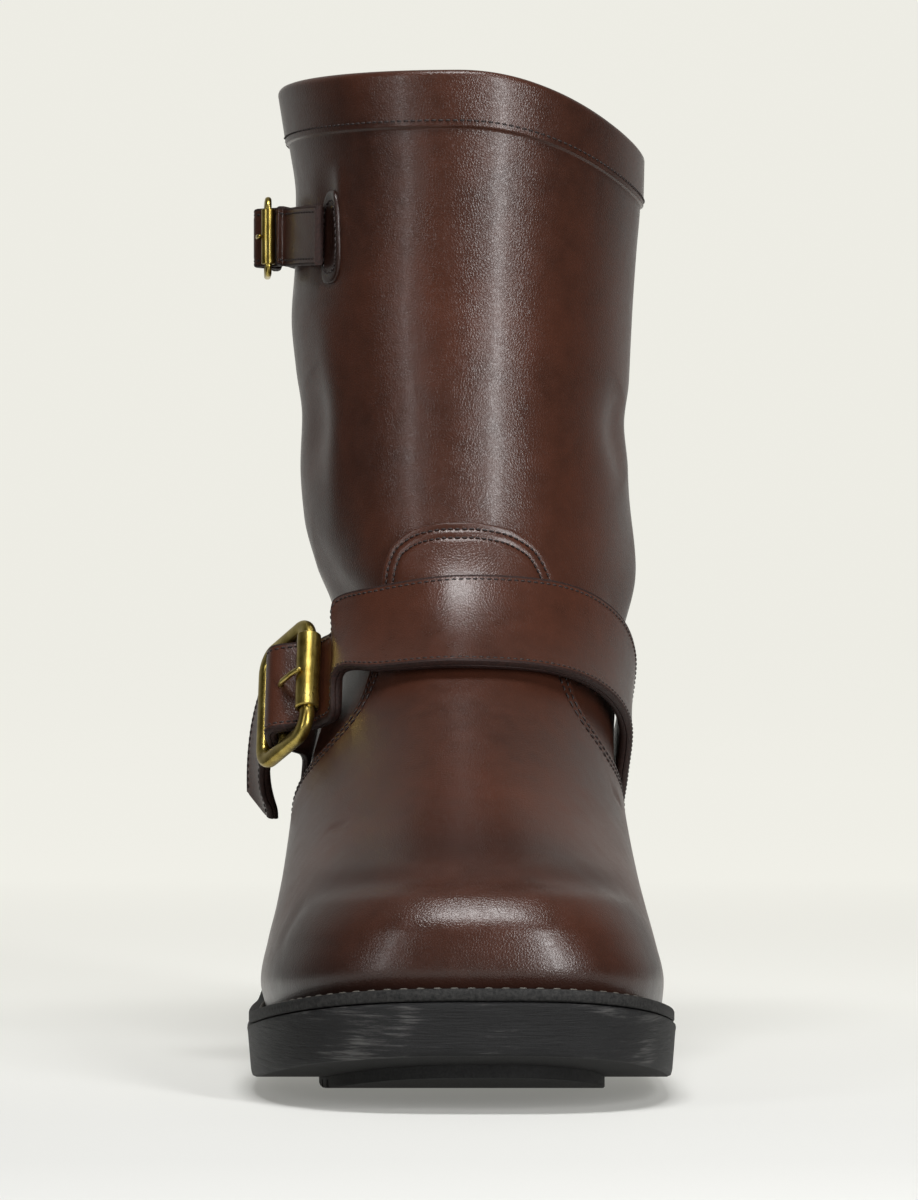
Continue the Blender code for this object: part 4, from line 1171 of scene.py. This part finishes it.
def make_tread_pad():
    """The forefoot's tread pad with its cross grooves."""
    turns = sole_turns(2 * SOLE_AROUND)[:SOLE_AROUND]
    inset = (SOLE_WIDTH - PAD_WIDTH) / 2
    inner, outer = sole_plan(turns, inset), sole_plan(-turns, inset)
    keep = inner[:, 1] < BALL_BACK_Y + 0.05 * SOLE_LENGTH
    y = inner[keep, 1]
    low = np.where(y < BALL_BACK_Y, seat_height(y) - BALL_TOP, (y - BALL_BACK_Y) * 0.02)
    top = seat_height(y) - WELT_THICKNESS - sole_depth(y) + PAD_SUNK
    pitch = GROOVED_SHARE * (BALL_BACK_Y - TOE_Y) / GROOVE_COUNT
    for i in range(GROOVE_COUNT):
        middle = BALL_BACK_Y + GROOVES_PAST_BALL - (i + 0.5) * pitch
        roof = max(float(seat_height(middle)) - BALL_TOP, 0.0) + GROOVE_DEPTH
        low = np.where(np.abs(y - middle) < GROOVE_WIDTH / 2, np.maximum(low, roof), low)
    edge = PAD_EDGE
    rings = [[(a, at, d), (a, at, c + edge), (a + edge, at, c), (b - edge, at, c),
              (b, at, c + edge), (b, at, d)]
             for at, a, b, c, d in zip(y, outer[keep, 0], inner[keep, 0], low, top)]
    loft("tread_pad", rings, ("tread",), 40.0, replaces=False)


def make_heel():
    """The heel block with its straight front, slight taper and a lift line."""
    turns = np.linspace(0, math.pi, 241)
    inner = sole_plan(turns)
    keep = inner[:, 1] > HEEL_FRONT_Y
    inner, outer = inner[keep], sole_plan(-turns)[keep]
    outline = np.concatenate([inner, outer[::-1][1:]])
    outline = np.concatenate([[(outline[0, 0], HEEL_FRONT_Y)], outline,
                              [(outline[-1, 0], HEEL_FRONT_Y)]])
    middle = np.array([outline[:, 0].mean(), HEEL_FRONT_Y])
    top = float(seat_height(HEEL_FRONT_Y) - WELT_THICKNESS - sole_depth(HEEL_FRONT_Y)) - GAP
    rings = []
    for z, soft in (*HEEL_LOW, *((top - down, soft) for down, soft in HEEL_HIGH)):
        taper = HEEL_TAPER * (1 - z / top) + soft
        ring = middle + (outline - middle) * [1 - taper / HALF_WIDTH, 1 - taper / HEEL_LENGTH]
        rings.append(np.column_stack([ring, np.full(len(ring), z)]))
    loft("heel", rings, ("heel",))


def make_welt():
    """The stitched strip on the sole's rim and its coarse stitches."""
    turns = sole_turns()
    outer = sole_plan(turns, 0.0004)
    inner = upper_point(turns, 0.0, -UPPER_WALL, creased=False)[:, :2]
    inward = unit(inner - outer)
    top = seat_height(outer[:, 1])
    rings = [np.column_stack([outer + inward * inset, top - drop]) for inset, drop in WELT_EDGE]
    for share in (0.25, 0.5, 0.75, 1.0):
        place = outer + (inner - outer) * share
        rings.append(np.column_stack([place, seat_height(place[:, 1])]))
    rings.append(np.column_stack([inner, seat_height(inner[:, 1]) - WELT_THICKNESS]))
    loft("welt", rings, ("welt",), 40.0, joined=True)
    line = outer + inward * WELT_STITCH_IN
    points = np.column_stack([line, seat_height(line[:, 1]) + WELT_STITCH_UP])
    points = np.concatenate([points, points[:1]])
    run = run_length(points)
    row = read_along(np.linspace(0, run[-1], int(run[-1] / WELT_STITCH_STEP)), run, points)
    stitches("boot_welt_stitches", [(row, np.tile([0.0, 0.0, 1.0], (len(row), 1)))],
             "welt_thread", length=0.74, radius=0.00055, lift=0.0002)


def make_insole():
    """The footbed inside the upper."""
    turns = np.linspace(0, math.pi, 102)[1:-1]
    margin = 2.5 * GAP
    rings = []
    for a, b in zip(*(upper_point(t, 0.0, -UPPER_WALL, creased=False) for t in (turns, -turns))):
        y, left, right = a[1], b[0] + margin, a[0] - margin
        if right - left < INSOLE_NARROWEST:
            continue
        low = float(seat_height(y)) - WELT_THICKNESS + GAP
        top = float(seat_height(y)) + INSOLE_PROUD
        across = [left + (right - left) * k / INSOLE_STEPS for k in range(INSOLE_STEPS + 1)]
        rings.append([(left, y, low)] + [(x, y, top) for x in across] + [(right, y, low)])
    loft("insole", rings, ("insole",), 40.0)


make_upper()
make_vamp()
make_patch()
make_back_stay()
make_upper_stitches()
make_outsole()
make_tread_pad()
make_heel()
make_welt()
make_insole()
rows = make_strap_set(INSTEP, INSTEP_STRAP, INSTEP_CHAPE, tail=STRAP_TAIL)
rows += make_strap_set(TOP, TOP_STRAP, TOP_CHAPE, more=((0.0065, 0.0014),), tip=0.5)
stitches("boot_strap_stitches", rows, "thread")

scene = bpy.context.scene
scene.view_settings.view_transform = "Standard"

camera_data = bpy.data.cameras.new("photo_camera")
camera_data.sensor_fit = "VERTICAL"
camera_data.sensor_height = 36.0
camera_data.lens = 171.0
camera_data.clip_start = 0.05
camera = link("photo_camera", camera_data)
camera.location = (0.0, -1.545, 0.1264)
camera.rotation_euler = (math.pi / 2, 0.0, 0.0)
scene.camera = camera

world = bpy.data.worlds.new("pale_room")
world.use_nodes = True
room = Nodes(world.node_tree, "Background", "Generated")
facing = room.add("SeparateXYZ", {"Vector": room.coords}).outputs["Y"]
room.feed(color=room.ramp(room.math("ADD", room.math("MULTIPLY", facing, 0.5), 0.5),
                          (0.40, (0.022, 0.022, 0.021, 1.0)), (0.66, (0.12, 0.12, 0.115, 1.0)),
                          (0.88, (0.40, 0.40, 0.38, 1.0))))
scene.world = world

# Lights: name, place, target, width, height and power.
for name, place, target, size, size_y, power in (
        ("strip_left", (-0.82, -0.84, 0.34), (0.0, 0.02, 0.15), 0.14, 0.9, 3.2),
        ("strip_right", (0.56, -1.02, 0.34), (0.0, 0.02, 0.15), 0.14, 0.9, 12.5),
        ("soft_top", (0.0, -0.42, 1.10), (0.0, -0.05, 0.05), 0.5, 0.3, 9.5)):
    light = bpy.data.lights.new(name, "AREA")
    light.shape = "RECTANGLE"
    light.size, light.size_y, light.energy = size, size_y, power
    made = link(name, light)
    made.location = place
    made.rotation_euler = (Vector(target) - Vector(place)).to_track_quat("-Z", "Y").to_euler()

# The paper floor from front to back, as y and height: it ends in a low wall far behind the boot.
SWEEP = ((-0.36, 0.0), (-0.10, 0.0), (0.15, 0.0), (0.5, 0.0), (0.9, 0.0), (1.4, 0.0), (2.4, 0.0),
         (3.3, 0.0), (3.7, 0.08), (3.95, 0.35), (4.05, 0.70), (4.10, 1.10))
SWEEP_START = 0.40
SWEEP_FADE = 2.4
SWEEP_ACROSS = (-1.0, -0.5, 0.0, 0.5, 1.0)
floor_verts = []
for y, z in SWEEP:
    reach = 0.19 + 0.12 * (y - TOE_Y) + 0.45 * z
    floor_verts += [(x * reach, y, z - 0.0004) for x in SWEEP_ACROSS]
paper, look = material("studio_paper", roughness=0.95, specular_ior_level=0.1,
                       emission_color=srgb(239, 238, 230))
depth = look.add("SeparateXYZ", {"Vector": look.coords}).outputs["Y"]
far = look.math("DIVIDE", look.math("ADD", depth, SWEEP_START), SWEEP_FADE)
look.feed(base_color=look.ramp(far, (0.10, (0.66, 0.66, 0.64, 1.0)),
                               (0.60, (0.10, 0.10, 0.095, 1.0))),
          emission_strength=look.ramp(far, (0.06, 0.06), (0.10, 0.12), (0.15, 0.29), (0.28, 0.63),
                                      (0.36, 0.72), (0.60, 0.96)))
floor = link("studio_sweep", new_mesh("studio_sweep", floor_verts,
                                      grid_faces(len(SWEEP), len(SWEEP_ACROSS)), [paper]))
